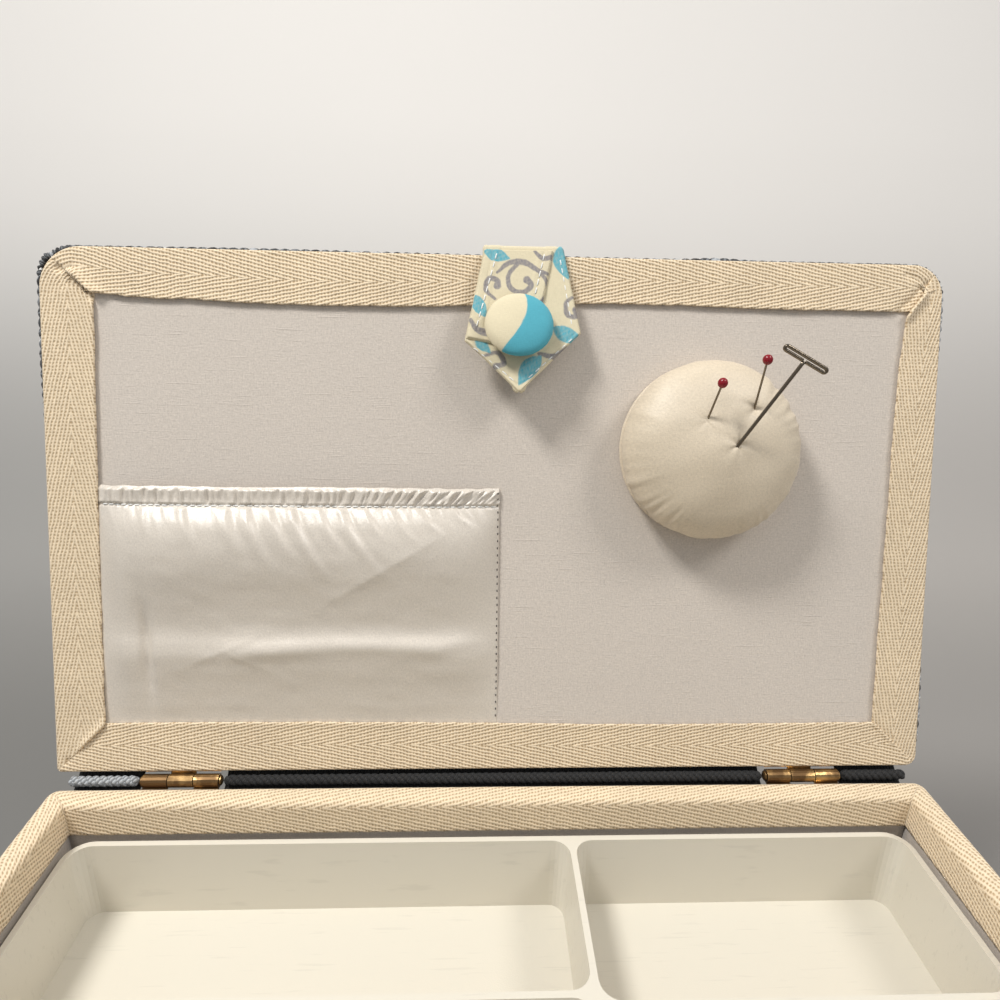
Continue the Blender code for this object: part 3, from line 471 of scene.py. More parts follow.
def lining_finish():
    """Pale cotton: a fine even weave with a slub here and there, and faint soiling."""
    material = new_finish("lining_cotton", LINING_GREY, 0.9, Sheen_Weight=0.12)
    along, across = cloth_place(material)
    weft = noise((along * 420.0, across * 2600.0, 0.0), 1.0, 2.0)
    warp = noise((along * 2600.0, across * 420.0, 7.0), 1.0, 2.0)
    slub = noise((along * 60.0, across * 1300.0, 3.0), 1.0, 2.0).ramp(0.60, 0.80)
    rise = noise((along * 1300.0, across * 60.0, 9.0), 1.0, 2.0).ramp(0.62, 0.80)
    cloud = noise((along, across, 0.0), 14.0, 3.0)
    soil = noise((along, across, 5.0), 95.0, 4.0, 0.7).ramp(0.66, 0.80)
    fleck = noise((along, across, 8.0), 1500.0, 2.0, 0.7)
    threads = weft * 0.5 + warp * 0.5
    colour = shade(LINING_GREY, threads * 0.45 + fleck * 0.55, 0.55, 1.46)
    colour = shade(colour, slub * 0.6 + rise * 0.4, 1.0, 0.94)
    colour = blend_colours(soil * 0.30, colour, (0.40, 0.33, 0.26))
    feed("Base Color", shade(colour, cloud, 0.965, 1.035))
    raise_surface(threads + slub * 0.5, 0.00016, 0.8)
    return material


def satin_finish(name, colour, roughness, gloss):
    """Ivory satin: long floats that catch the light in a band square to the threads."""
    material = new_finish(
        name, colour, roughness, Specular_IOR_Level=gloss, Sheen_Weight=0.10, Anisotropic=0.5
    )
    along, across = cloth_place(material)
    floats = noise((along * 2600.0, across * 900.0, 0.0), 1.0, 2.0)
    picks = noise((along * 700.0, across * 2600.0, 5.0), 1.0, 2.0)
    grain = noise((along, across, 3.0), 1250.0, 3.0, 0.75)
    cloud = noise((along, across, 0.0), 32.0)
    threads = floats * 0.25 + picks * 0.20 + grain * 0.55
    tone = shade(colour, threads, 0.58, 1.40)
    feed("Base Color", shade(tone, cloud, 0.96, 1.04))
    raise_surface(threads, 0.00014, 0.9)
    return material


def cord_finish():
    """Plain weave of twisted cord: each cord's dye, its plies' slant and its shadowed flanks."""
    material = new_finish("woven_cord", (0.1, 0.1, 0.1), 0.72, Sheen_Weight=0.05)
    along, across = cloth_place(material)

    def cords(run, over, wave, seeds):
        """Height, plies and colour of the cords of one way, in pitches along and across them."""
        number = over.nearest()
        side = (over - number) * 2.0
        arch = (side * side * -1.0 + 1.0).math("MAXIMUM", 0.0) ** 0.5
        lift = ((run + number) * math.pi).math("COSINE") * wave + arch
        ply = ((run * 1.7 + side * 0.35) * math.tau).sin()
        dyes = [colour_steps(chance(number, seed), dye) for seed, dye in zip(seeds, CORD_DYES)]
        return lift, ply, blend_colours(ply.ramp(-0.25, 0.25), *dyes)

    a, b = along / CORD_PITCH, across / CORD_PITCH
    row_lift, row_ply, row_colour = cords(a, b, 0.55, (3.0, 29.0))
    stake_lift, stake_ply, stake_colour = cords(b, a, -0.55, (11.0, 37.0))
    row_over = (row_lift - stake_lift).above(0.0)
    colour = blend_colours(row_over, stake_colour, row_colour)
    fibres = noise((along * 1800.0, across * 1800.0, 0.0), 1.0, 3.0)
    flank = row_lift.math("MAXIMUM", stake_lift).ramp(0.35, 1.1)
    colour = shade(colour, flank, 0.30, 1.0)
    feed("Base Color", shade(colour, fibres, 0.75, 1.25))
    ply = stake_ply * (row_over * -1.0 + 1.0) + row_ply * row_over
    raise_surface(abs(ply) ** 0.6 + fibres * 0.5, 0.00035, 0.8)
    return material


def twist_finish():
    """Twisted cotton cord, black with a grey length at its left end and flecks of pale fibre."""
    material = new_finish("twisted_cord", (0.02, 0.02, 0.02), 0.75, Sheen_Weight=0.05)
    along, across = cloth_place(material)
    x, y, z = object_place(material)
    plies = ((along / 0.0017 + across / 0.0021) * math.tau).sin()
    fibres = noise((along * 2200.0, across * 2200.0, 0.0), 1.0, 3.0, 0.7)
    pale = (x * -1.0 + noise((x, y, z), 160.0) * 0.02).ramp(0.127, 0.133)
    colour = blend_colours(pale, CORD_BLACK, CORD_SILVER)
    # Painted shade: the cord is darker in the grooves between its plies
    colour = shade(colour, plies.ramp(-1.0, 1.0), 0.5, 1.2)
    colour = blend_colours(fibres.ramp(0.62, 0.80) * 0.5, colour, CORD_GREY)
    feed("Base Color", colour)
    raise_surface(abs(plies) * 0.6 + fibres * 0.6, 0.0003, 0.8)
    return material


def webbing_finish():
    """Black webbing: fine ribs across it and a little dust."""
    material = new_finish("black_webbing", (0.02, 0.02, 0.02), 0.8, Sheen_Weight=0.05)
    along, across = cloth_place(material)
    rib = ((along / 0.0011) * math.tau).sin() * 0.5 + 0.5
    fibres = noise((along * 1500.0, across * 1500.0, 0.0), 1.0, 3.0)
    # Painted shade: the webbing is darker between its ribs, and the fibre noise adds dust
    feed("Base Color", shade((0.022, 0.021, 0.020), rib * 0.5 + fibres * 0.5, 0.5, 1.6))
    raise_surface(rib * 0.7 + fibres * 0.4, 0.0003, 0.8)
    return material


def print_finish():
    """Printed cotton: the dye comes with the mesh, under a fine visible weave."""
    material = new_finish("printed_cotton", (0.8, 0.75, 0.6), 0.9, Sheen_Weight=0.1)
    along, across = cloth_place(material)
    dye = material.node_tree.nodes.new("ShaderNodeVertexColor")
    dye.layer_name = "dye"
    weft = noise((along * 700.0, across * 3000.0, 0.0), 1.0, 2.0)
    warp = noise((along * 3000.0, across * 700.0, 4.0), 1.0, 2.0)
    threads = weft * 0.5 + warp * 0.5
    feed("Base Color", shade(Term(material.node_tree, dye.outputs[0]), threads, 0.86, 1.12))
    raise_surface(threads, 0.00014, 0.8)
    return material


def brass_finish():
    """Antique brass: dark brown in patches, rubbed brighter elsewhere, with fine scratches."""
    material = new_finish("old_brass", (0.42, 0.27, 0.12), 0.38, 1.0)
    x, y, z = object_place(material)
    patches = noise((x, y, z), 140.0, 4.0).ramp(0.40, 0.66)
    scratches = noise((x * 300.0, y * 4000.0, z * 4000.0), 1.0, 2.0)
    colour = blend_colours(patches, (0.16, 0.095, 0.045), (0.52, 0.34, 0.15))
    feed("Base Color", colour)
    feed("Roughness", patches * -0.22 + scratches * 0.12 + 0.46)
    raise_surface(scratches, 0.00004, 0.5)
    return material


def steel_finish(name, colour, roughness):
    """Nickel plated steel, with drawing lines that vary its gloss."""
    material = new_finish(name, colour, roughness, 1.0)
    x, y, z = object_place(material)
    lines = noise((x * 900.0, y * 900.0, z * 900.0), 1.0, 3.0)
    feed("Base Color", shade(colour, lines, 0.90, 1.06))
    feed("Roughness", lines * 0.10 + (roughness - 0.05))
    return material


def glass_finish():
    """Opaque red glass, glossy, a little deeper in its swirls."""
    material = new_finish("red_glass", (0.22, 0.002, 0.010), 0.25)
    x, y, z = object_place(material)
    swirl = noise((x, y, z), 900.0, 2.0)
    feed("Base Color", blend_colours(swirl, (0.18, 0.002, 0.008), (0.28, 0.003, 0.014)))
    return material


def wood_finish(name, light, dark, scale):
    """Planed wood: long grain lines along X that wander, with darker pores."""
    material = new_finish(name, light, 0.6)
    x, y, z = object_place(material)
    grain = noise((x * scale, y * scale * 14.0, z * scale * 14.0), 1.0, 5.0, 0.6)
    pores = noise((x * scale * 6.0, y * scale * 90.0, z * scale * 90.0), 1.0, 2.0).ramp(0.6, 0.75)
    colour = blend_colours(grain, dark, light)
    feed("Base Color", shade(colour, pores, 1.0, 0.72))
    raise_surface(grain - pores * 0.5, 0.0002, 0.4)
    return material


def board_finish():
    """Brown pressed board, with short fibres."""
    material = new_finish("hardboard", (0.33, 0.20, 0.11), 0.8)
    x, y, z = object_place(material)
    fibres = noise((x * 700.0, y * 700.0, z * 700.0), 1.0, 6.0, 0.7)
    feed("Base Color", blend_colours(fibres, (0.20, 0.11, 0.055), (0.42, 0.27, 0.15)))
    raise_surface(fibres, 0.0003, 0.5)
    return material


def plastic_finish():
    """Cream moulded plastic: a faint grain, softly glossy, with light scuffs."""
    material = new_finish("cream_plastic", (0.70, 0.66, 0.57), 0.42, Coat_Weight=0.08)
    x, y, z = object_place(material)
    grain = noise((x, y, z), 2200.0, 2.0)
    scuffs = noise((x * 60.0, y * 900.0, z * 300.0), 1.0, 3.0).ramp(0.60, 0.72)
    feed("Base Color", shade((0.70, 0.66, 0.57), scuffs, 1.0, 0.94))
    feed("Roughness", grain * 0.10 + scuffs * 0.12 + 0.36)
    raise_surface(grain, 0.00006, 0.5)
    return material


def thread_finish(name, colour):
    """Sewing thread: a fine twist along the stitch."""
    material = new_finish(name, colour, 0.7)
    x, y, z = object_place(material)
    twist = noise((x, y, z), 5200.0, 1.0)
    feed("Base Color", shade(colour, twist, 0.85, 1.1))
    raise_surface(twist, 0.00008, 0.6)
    return material


CREAM = (0.86, 0.71, 0.51)
# Painted shade colour for the twill's grooves
TWILL_GROOVE_SHADE = (0.45, 0.32, 0.18)
LINING_GREY = (0.595, 0.535, 0.475)
POCKET_IVORY = (0.655, 0.595, 0.52)
CUSHION_IVORY = (0.65, 0.556, 0.425)
CORD_BLACK = (0.012, 0.012, 0.013)
CORD_DARK = (0.045, 0.048, 0.05)
CORD_GREY = (0.17, 0.18, 0.19)
CORD_SILVER = (0.38, 0.40, 0.42)
CORD_WHITE = (0.78, 0.78, 0.76)
# A cord's two plies: pairs of a chance from 0 to 1 and the dye from there on
CORD_DYES = (
    (
        (0.0, CORD_BLACK),
        (0.34, CORD_DARK),
        (0.56, CORD_GREY),
        (0.74, CORD_SILVER),
        (0.90, CORD_WHITE),
    ),
    ((0.0, CORD_DARK), (0.40, CORD_BLACK), (0.62, CORD_SILVER), (0.82, CORD_GREY)),
)

TWILL = twill_finish()
LINING = lining_finish()
POCKET_SATIN = satin_finish("pocket_satin", POCKET_IVORY, 0.38, 1.0)
CUSHION_SATIN = satin_finish("cushion_satin", CUSHION_IVORY, 0.50, 0.6)
CORD = cord_finish()
PRINT = print_finish()
BRASS = brass_finish()
NICKEL = steel_finish("nickel_steel", (0.205, 0.17, 0.13), 0.20)
RED_GLASS = glass_finish()
PALE_WOOD = wood_finish("pale_wood", (0.62, 0.45, 0.28), (0.48, 0.31, 0.17), 30.0)
HARDBOARD = board_finish()
PLASTIC = plastic_finish()
GUSSET = webbing_finish()
WHITE_THREAD = thread_finish("white_thread", (0.82, 0.82, 0.80))
DARK_THREAD = thread_finish("dark_thread", (0.035, 0.032, 0.03))


def dress(obj, material, body, stands_for=()):
    """Gives a finished piece its material, body, material slot and the nodes it stands for."""
    obj.data.materials.clear()
    obj.data.materials.append(material)
    if body:
        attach(obj, body)
    if stands_for:
        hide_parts(*stands_for)
    return obj


def paint_nodes():
    """The CAD nodes that stay as they are get their finishes."""
    finishes = {
        HARDBOARD: "base_board front_board back_board left_board right_board lid_board",
        PALE_WOOD: "left_tray_ledge right_tray_ledge",
        BRASS: (
            "left_hinge_body_leaf right_hinge_body_leaf left_hinge_pin right_hinge_pin"
            " left_hinge_lid_leaf right_hinge_lid_leaf left_handle_bracket right_handle_bracket"
            " left_pivot_screw right_pivot_screw left_handle_arm right_handle_arm"
        ),
        NICKEL: "closure_keeper closure_magnet ball_pin_1_shaft ball_pin_2_shaft t_pin",
        PLASTIC: "tray",
        RED_GLASS: "ball_pin_1_head ball_pin_2_head",
        LINING: "pincushion_board pocket_elastic",
        CUSHION_SATIN: "pincushion",
        POCKET_SATIN: "lid_pocket",
        PRINT: "tab_strap tab_under_layer tab_top_layer covered_button",
    }
    for material, names in finishes.items():
        for name in names.split():
            mesh = frame["nodes"][name].data
            mesh.materials.clear()
            mesh.materials.append(material)


def corner_path(s, t, radius):
    """Distances along and in from a side's first corner.

    Past the corner's radius the path is straight. Before it, the path at depth t runs round a
    circle of the radius that is left at that depth.
    """
    left = np.maximum(radius - t, 1e-9)
    round_part = (t < radius) & (s < radius)
    angle = np.where(round_part, (radius - s) / left, 0.0)
    x = np.where(round_part, radius - left * np.sin(angle), s)
    y = np.where(round_part, radius - left * np.cos(angle), t)
    return x, y


def mitre_start(t, radius):
    """Where a side starts at depth t: half way round what is left of its corner, or at t."""
    return np.where(t < radius, radius - (radius - t) * math.pi / 4, t)


# Each side of the lid's tape, clockwise: node, corner, way along, way in, the two corners' radii,
# how high and how wide its fold stands at its start, how deep its end dips under the next side's
# fold, and how far that end reaches under it, all in millimetres
TAPE_SIDES = (
    ("lid_tape_left", (-1, -1), (0, 1), (1, 0), (1.2, 13.5), (1.25, 2.4), 1.0, 3.0),
    ("lid_tape_front", (-1, 1), (1, 0), (0, -1), (13.5, 10.5), (1.9, 3.6), 0.4, 6.5),
    ("lid_tape_right", (1, 1), (0, -1), (-1, 0), (10.5, 3.6), (1.7, 2.8), 0.3, 2.0),
    ("lid_tape_back", (1, -1), (-1, 0), (0, 1), (3.6, 1.2), (0.65, 1.6), 0.7, 2.0),
)
# How far each side is laid outwards: places along it and shifts, in millimetres
TAPE_SHIFTS = (
    ((0, 60, 120, 165, 178), (-0.6, -0.6, -0.8, -1.0, -0.6)),
    (
        (0, 17, 30, 50, 67, 97, 203, 237, 284, 305),
        (1.4, 1.4, 0.0, -0.3, -1.1, -1.5, 1.0, 0.3, 0.2, 0.2),
    ),
    ((0, 17, 26, 38, 95, 150, 178), (4.2, 4.1, 3.0, 2.2, 0.7, -0.6, -0.9)),
    ((0, 20, 95, 200, 285, 305), (0.0, 0.0, 0.3, -1.0, -1.1, -1.0)),
)
# Creases at the corner where each side starts: along it and in from its edge at both ends, then the
# width and the depth, in millimetres
TAPE_CREASES = (
    ((3.0, 3.2, 4.2, 4.0, 0.8, 0.6),),
    (
        (6.0, 6.9, 6.6, 7.4, 1.1, 1.2),
        (6.6, 7.2, 11.0, 6.2, 0.6, 0.35),
        (6.4, 7.6, 7.2, 13.0, 0.6, 0.4),
        (5.8, 6.6, 4.4, 4.9, 0.8, 0.4),
    ),
    (
        (6.4, 5.6, 5.0, 8.2, 1.0, 0.5),
        (5.0, 8.2, 3.2, 12.8, 0.9, 0.5),
        (8.6, 4.6, 6.9, 9.0, 0.7, 0.3),
        (8.0, 3.4, 14.0, 4.6, 0.6, 0.3),
    ),
    (),
)


def creases(x, y, places):
    """How far a few creases sink the cloth: each falls off smoothly from a straight line."""
    sunk = np.zeros(np.broadcast(x, y).shape)
    for x0, y0, x1, y1, width, depth in places:
        length = math.hypot(x1 - x0, y1 - y0)
        along = np.clip(((x - x0) * (x1 - x0) + (y - y0) * (y1 - y0)) / length**2, 0, 1)
        gap = np.hypot(x - x0 - along * (x1 - x0), y - y0 - along * (y1 - y0))
        sunk = np.minimum(sunk, -depth * np.exp(-((gap / width) ** 2)))
    return sunk


# The tape's roll over the lid's edge: its radius and how far in it starts; then the grid's step
TAPE_ROLL = 0.9 * MM
TAPE_EDGE = 0.6 * MM
TAPE_STEP = 0.55 * MM


def make_lid_tapes():
    """The four sides of twill tape round the lid's inner face.

    A side is a grid: s along it between its corner folds and t in from its outer edge, where the
    cloth rolls over the lid's edge on a small circle. The inner edge wavers, and each fold stands
    up over the side before it. Where a side's end reaches far under the next, its inner part runs
    on straight and only the strip along the edge turns the corner.
    """
    for number, (node, corner, along, inward, radii, size, dip, tuck) in enumerate(TAPE_SIDES):
        length = 2 * (TAPE_HALF_WIDTH if along[0] else TAPE_HALF_HEIGHT)
        first_radius, last_radius = (radius * MM for radius in radii)
        t = np.linspace(-TURNED_OVER, TAPE_WIDTH, 36)[:, None]
        roll = np.clip((TAPE_EDGE - t) / TAPE_ROLL, 0, None)
        depth = np.where(roll > 0, TAPE_EDGE - TAPE_ROLL * np.sin(roll), t)
        inner = smooth_step(t, 5.0 * MM, 8.0 * MM)
        straight = inner * (tuck > 6)
        overlap = (1.8 if tuck > 6 else 0.8) * smooth_step(t, 0.3 * MM, 3 * MM)
        starts = mitre_start(depth, first_radius)
        seam = mitre_start(depth, last_radius)
        ends = seam - (tuck * inner + overlap) * MM
        share = np.linspace(0, 1, int(length / TAPE_STEP))[None, :]
        s = starts + (length - ends - starts) * share
        x1, y1 = corner_path(s, depth, first_radius)
        x2, y2 = corner_path(length - s, depth, last_radius)
        x2 = x2 * (1 - straight) + (length - s) * straight
        y2 = y2 * (1 - straight) + depth * straight
        first = s < length / 2
        x = np.where(first, x1, length - x2)
        y = np.where(first, y1, y2)
        shift = curve_through(s / MM, *TAPE_SHIFTS[number]) * MM
        fray = 0.13 * soft_noise(s, 0 * s, 1.3 * MM, 20 + number)
        waver = fray + 0.22 * soft_noise(s, 0 * s, 17 * MM, 30 + number)
        y = y - shift * np.clip(depth, 0, None) / TAPE_WIDTH
        y = y + waver * MM * smooth_step(t, 12 * MM, 16 * MM)
        edge_gap = (s - starts) / MM
        fold = size[0] * bump_at(edge_gap, 0, size[1]) * (1 - 0.6 * bump_at(edge_gap, 0, 0.5))
        under_gap = (length - seam - s) / MM
        fold = (fold - dip * bump_at(under_gap, 0, 2.0)) * smooth_step(t, 5.5 * MM, 9.5 * MM)
        fold = fold - 0.3 * overlap * (1 - smooth_step(under_gap, -1.2, 0.8))
        own = creases(x / MM, y / MM, TAPE_CREASES[number])
        next_side = creases(y / MM, (length - x) / MM, TAPE_CREASES[(number + 1) % 4])
        waves = 0.16 * soft_noise(s, t * 0.7, 26 * MM, 40 + number)
        crown = 0.30 * smooth_step(t, 13 * MM, 16 * MM)
        crown = crown - 0.22 * np.abs(t / TAPE_WIDTH * 2 - 1).clip(0, 1) ** 4
        height = (waves + crown + fold + np.minimum(own, next_side)) * MM
        out = height * smooth_step(t, 0, 2 * MM) - TAPE_ROLL * (1 - np.cos(roll))
        across = corner[0] * TAPE_HALF_WIDTH + along[0] * x + inward[0] * y
        up = corner[1] * TAPE_HALF_HEIGHT + along[1] * x + inward[1] * y
        uv = stacked(s + number * 0.4, t + shift * (1 - t / TAPE_WIDTH))
        name = node.replace("lid_tape", "twill_tape")
        obj = grid_object(name, lid_points(across, up, out), uv, flip=True)
        thicken(obj, TAPE)
        dress(obj, TWILL, "lid", (node,))


def curve_through(x, knots, values):
    """A smooth curve through points: cubic Hermite pieces with slopes from their neighbours."""
    knots = np.asarray(knots, float)
    values = np.asarray(values, float)
    slopes = np.gradient(values, knots)
    place = np.clip(np.searchsorted(knots, x, side="right") - 1, 0, len(knots) - 2)
    width = knots[place + 1] - knots[place]
    q = np.clip((x - knots[place]) / width, 0, 1)
    return (
        values[place] * (1 + 2 * q) * (1 - q) ** 2
        + slopes[place] * width * q * (1 - q) ** 2
        + values[place + 1] * q * q * (3 - 2 * q)
        + slopes[place + 1] * width * q * q * (q - 1)
    )


POCKET_LEFT = -136.2 * MM
POCKET_WIDTH = 136.0 * MM
POCKET_MOUTH = 10.7 * MM
POCKET_DEPTH = 85.5 * MM
POCKET_CASING = 6.4 * MM
# The pocket's belly: depth below the mouth and height over the lining, in millimetres
BELLY = (
    (0, 4.6), (6.4, 4.7), (8.5, 5.9), (12, 7.7), (17, 8.9), (22, 9.1), (28, 8.4), (36, 6.5),
    (43, 4.9), (48, 4.1), (51, 4.1), (54, 4.6), (57.5, 4.8), (62, 4.0), (69, 2.4), (78, 1.0),
    (86, 0.3),
)
# Long folds that run down from the casing: where each starts, how far it drifts, its reach,
# its width and its height, in millimetres
CASING_FOLDS = (
    (17.0, 1.5, 10.0, 1.3, 0.7),
    (30.0, 3.5, 13.0, 1.5, 0.9),
    (44.0, 5.5, 17.0, 1.6, 1.2),
    (51.0, 7.5, 20.0, 1.5, 1.2),
    (58.5, 8.0, 17.0, 1.4, 1.1),
    (66.0, 12.0, 24.0, 1.4, 1.3),
    (75.0, 9.0, 16.0, 1.3, 1.0),
    (82.5, 13.0, 22.0, 1.4, 1.2),
    (90.0, 7.0, 11.0, 1.2, 0.9),
    (99.0, 9.0, 12.0, 1.2, 0.9),
    (108.0, 8.0, 9.0, 1.1, 0.8),
    (120.0, 6.0, 7.0, 1.1, 0.7),
)


def ridge_at(place, before, after):
    """A ridge of height 1 at 0 that falls off exponentially, each way over its own distance."""
    return np.where(place < 0, np.exp(place / before), np.exp(-place / after))


def pocket_height(across, depth):
    """The satin's height over the lining, all in millimetres.

    It is a belly curve down the depth, times a curve that holds the two sides down. The casing is
    ruched by noise that runs down it and slants at its right. Below the seam long folds drift
    sideways as they fade, over finer gathers. A few straight creases are added lower down.
    """
    share = across / (POCKET_WIDTH / MM)
    seam = POCKET_CASING / MM
    hold = 1 - np.abs(2 * share - 1) ** 6
    height = curve_through(depth, *zip(*BELLY)) * hold
    height += 0.55 * (1 - smooth_step(depth, 58, 84))

    right = smooth_step(share, 0.45, 0.95)
    ruche = soft_noise(across + (depth - 3) * 0.8 * right, 0.10 * depth, 2.9, 51, 2)
    fine_ruche = soft_noise(across + (depth - 3) * 1.2 * right, 0.15 * depth, 1.9, 57, 2)
    casing = smooth_step(depth, 0.5, 1.5) * (1 - smooth_step(depth, seam - 1.1, seam - 0.2))
    height += casing * (0.45 + 0.70 * ruche + (0.50 + 0.10 * right) * fine_ruche)
    pulled = 0.38 + 0.22 * soft_noise(across, 0 * across, 2.0, 52)
    height -= bump_at(depth, seam, 0.5) * pulled
    height -= 0.45 * (1 - smooth_step(depth, 0.0, 0.9))

    below = np.clip(depth - seam, 0, None)
    under = (below > 0) * (1 - np.exp(-below / 0.8))
    fine = soft_noise(across - 0.45 * below, 0.15 * below, 4.4, 54, 2)
    height += under * fine * 0.30 * np.exp(-below / 5.0) * (0.5 + 0.5 * hold)
    tight = soft_noise(across - 0.2 * below, 0.1 * below, 2.4, 53, 2)
    height += under * tight * 0.20 * np.exp(-below / 2.2)
    for start, drift, reach, width, rise in CASING_FOLDS:
        fall = np.clip(below / reach, 0, 1.5)
        shape = (across - start - drift * fall**1.3) / (width * (1 + 0.9 * fall))
        ridge = np.exp(-(shape**2) * np.where(shape < 0, 0.45, 2.2))
        ridge = ridge - 0.35 * bump_at(shape, 1.3, 0.8)
        height += 0.72 * under * rise * ridge * (1 - smooth_step(fall, 0.25, 1.15))

    diagonal = (depth - 36.0) + (across - 83.0) * 0.60
    reach = smooth_step(across, 68, 92) * (1 - smooth_step(across, 104, 124))
    height += 0.62 * reach * ridge_at(diagonal, 8.0, 3.6)
    low_crease = (depth - 61.0) + (across - 31.0) * 0.43
    height += 0.38 * bump_at(across, 42, 13) * ridge_at(low_crease, 3.0, 1.2)
    second = (depth - 57.0) - (across - 44.0) * 0.45
    height += 0.28 * bump_at(across, 50, 8) * ridge_at(second, 3.0, 1.3)
    fold = depth - (53.0 + 1.4 * np.sin(across / 19.0) - 3.2 * smooth_step(across, 112, 132))
    spread = smooth_step(across, 38, 54) * (1 - smooth_step(across, 112, 133))
    height += 1.25 * spread * bump_at(fold, 2.4, 3.2)
    height -= 2.3 * bump_at(across, 14.4 + 0.03 * depth, 2.0) * bump_at(depth, 56, 13)
    height += 0.7 * bump_at(across, 9.0, 3.0) * bump_at(depth, 48, 22)
    height += 0.5 * bump_at(across, 122, 8) * bump_at(depth, 62, 8)
    dents = 0.20 * soft_noise(across, depth, 24.0, 55) + 0.045 * soft_noise(across, depth, 7.0, 58)
    return (height + dents * hold) * (1 - 0.7 * smooth_step(depth, 76.0, 85.0))


def pocket_points(across, depth, proud=0.0):
    """World points on the pocket's face from millimetres across it and down it."""
    out = LINING_FACE + (pocket_height(across, depth) + proud) * MM
    pull = 0.35 * soft_noise(across, 0 * across, 8.0, 56) * (1 - smooth_step(depth, 0.0, 0.9))
    return lid_points(POCKET_LEFT + across * MM, POCKET_MOUTH + (pull - depth) * MM, out)


def make_pocket():
    """The gathered satin pocket, and the stitches that hold its casing and its right side."""
    width, bottom = POCKET_WIDTH / MM, POCKET_DEPTH / MM
    rows = np.concatenate((np.linspace(0, 12, 40, endpoint=False), np.linspace(12, bottom, 96)))
    across, depth = np.meshgrid(np.linspace(0, width, 330), rows)
    uv = stacked(across * 1.25 * MM, depth * MM)
    pocket = grid_object("satin_pocket", pocket_points(across, depth), uv, flip=True)
    thicken(pocket, 0.4 * MM)
    dress(pocket, POCKET_SATIN, "lid", ("lid_pocket", "pocket_elastic"))
    run = np.linspace(1.5, width - 1.0, 900)
    seam = POCKET_CASING / MM + 0.12 * soft_noise(run, 0 * run, 9.0, 59)
    starts, ends = dashes(pocket_points(run, seam, 0.16), 1.9 * MM, 0.55 * MM)
    stitch_row("casing_stitches", starts, ends, OUT_OF_LID, 0.25 * MM, WHITE_THREAD, "lid")
    fall = np.linspace(0.4, bottom - 3.0, 600)
    side = width - 0.55 + 0.1 * soft_noise(fall, 0 * fall, 7.0, 60)
    starts, ends = dashes(pocket_points(side, fall, 0.10), 0.75 * MM, 1.75 * MM)
    stitch_row("pocket_side_stitches", starts, ends, OUT_OF_LID, 0.17 * MM, DARK_THREAD, "lid")


def make_lid_lining():
    """The lid's cotton: a nearly flat sheet, with a soft ripple, stretched on its board."""
    across = np.linspace(-149, 149, 280)[None, :] * MM
    up = np.linspace(-86, 86, 172)[:, None] * MM
    out = LINING_FACE + 0.07 * MM * soft_noise(across, up, 60 * MM, 61)
    obj = grid_object("cotton_lid_lining", lid_points(across, up, out), stacked(across, up))
    thicken(obj, 0.6 * MM)
    dress(obj, LINING, "lid", ("lid_lining",))


def panel(name, node, start, wide, high, seed):
    """A cotton panel inside the body, from a corner and its two edges, with a slight belly."""
    start, wide, high = (np.array(v, float) for v in (start, wide, high))
    normal = np.cross(wide, high)
    normal /= np.linalg.norm(normal)
    size = (np.linalg.norm(wide), np.linalg.norm(high))
    s, t = (np.linspace(0, 1, int(length / (3 * MM))) for length in size)
    s, t = s[None, :, None], t[:, None, None]
    puff = 0.12 * MM * soft_noise(s * size[0], t * size[1], 50 * MM, seed)
    points = start + wide * s + high * t + normal * puff
    obj = grid_object(name, points, stacked(s[..., 0] * size[0], t[..., 0] * size[1]))
    thicken(obj, 0.6 * MM)
    dress(obj, LINING, "basket_body", (node,))


def make_body_linings():
    """Four wall panels and one on the base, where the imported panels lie."""
    z0, z1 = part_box("front_lining")[0][2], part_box("left_lining")[1][2]
    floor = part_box("base_lining")[1][2]
    right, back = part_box("right_lining")[0][0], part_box("back_lining")[0][1]
    left, front = -right, -back
    rise = (0, 0, z1 - z0)
    panel("cotton_front", "front_lining", (right, front, z0), (left - right, 0, 0), rise, 71)
    panel("cotton_back", "back_lining", (left, back, z0), (right - left, 0, 0), rise, 72)
    panel("cotton_left", "left_lining", (left, front, z0), (0, back - front, 0), rise, 73)
    panel("cotton_right", "right_lining", (right, back, z0), (0, front - back, 0), rise, 74)
    corner = (left, front, floor)
    panel("cotton_base", "base_lining", corner, (right - left, 0, 0), (0, back - front, 0), 75)


def weave_height(a, b):
    """Height of plain woven cord at a cords along and b cords up, in metres.

    A cord is a half circle across its width that rises and falls along its length as a cosine, one
    way where the sum of the two cord numbers is even and the other way where it is odd. The higher
    of the two cords shows.
    """
    lifts = []
    for run, over, wave in ((a, b, CORD_WAVE), (b, a, -CORD_WAVE)):
        number = np.round(over)
        arch = np.sqrt(1 - np.minimum(np.abs(over - number) * 2, 1) ** 2)
        lifts.append(wave * np.cos(math.pi * (run + number)) + arch * CORD_RADIUS)
    return np.maximum(*lifts)


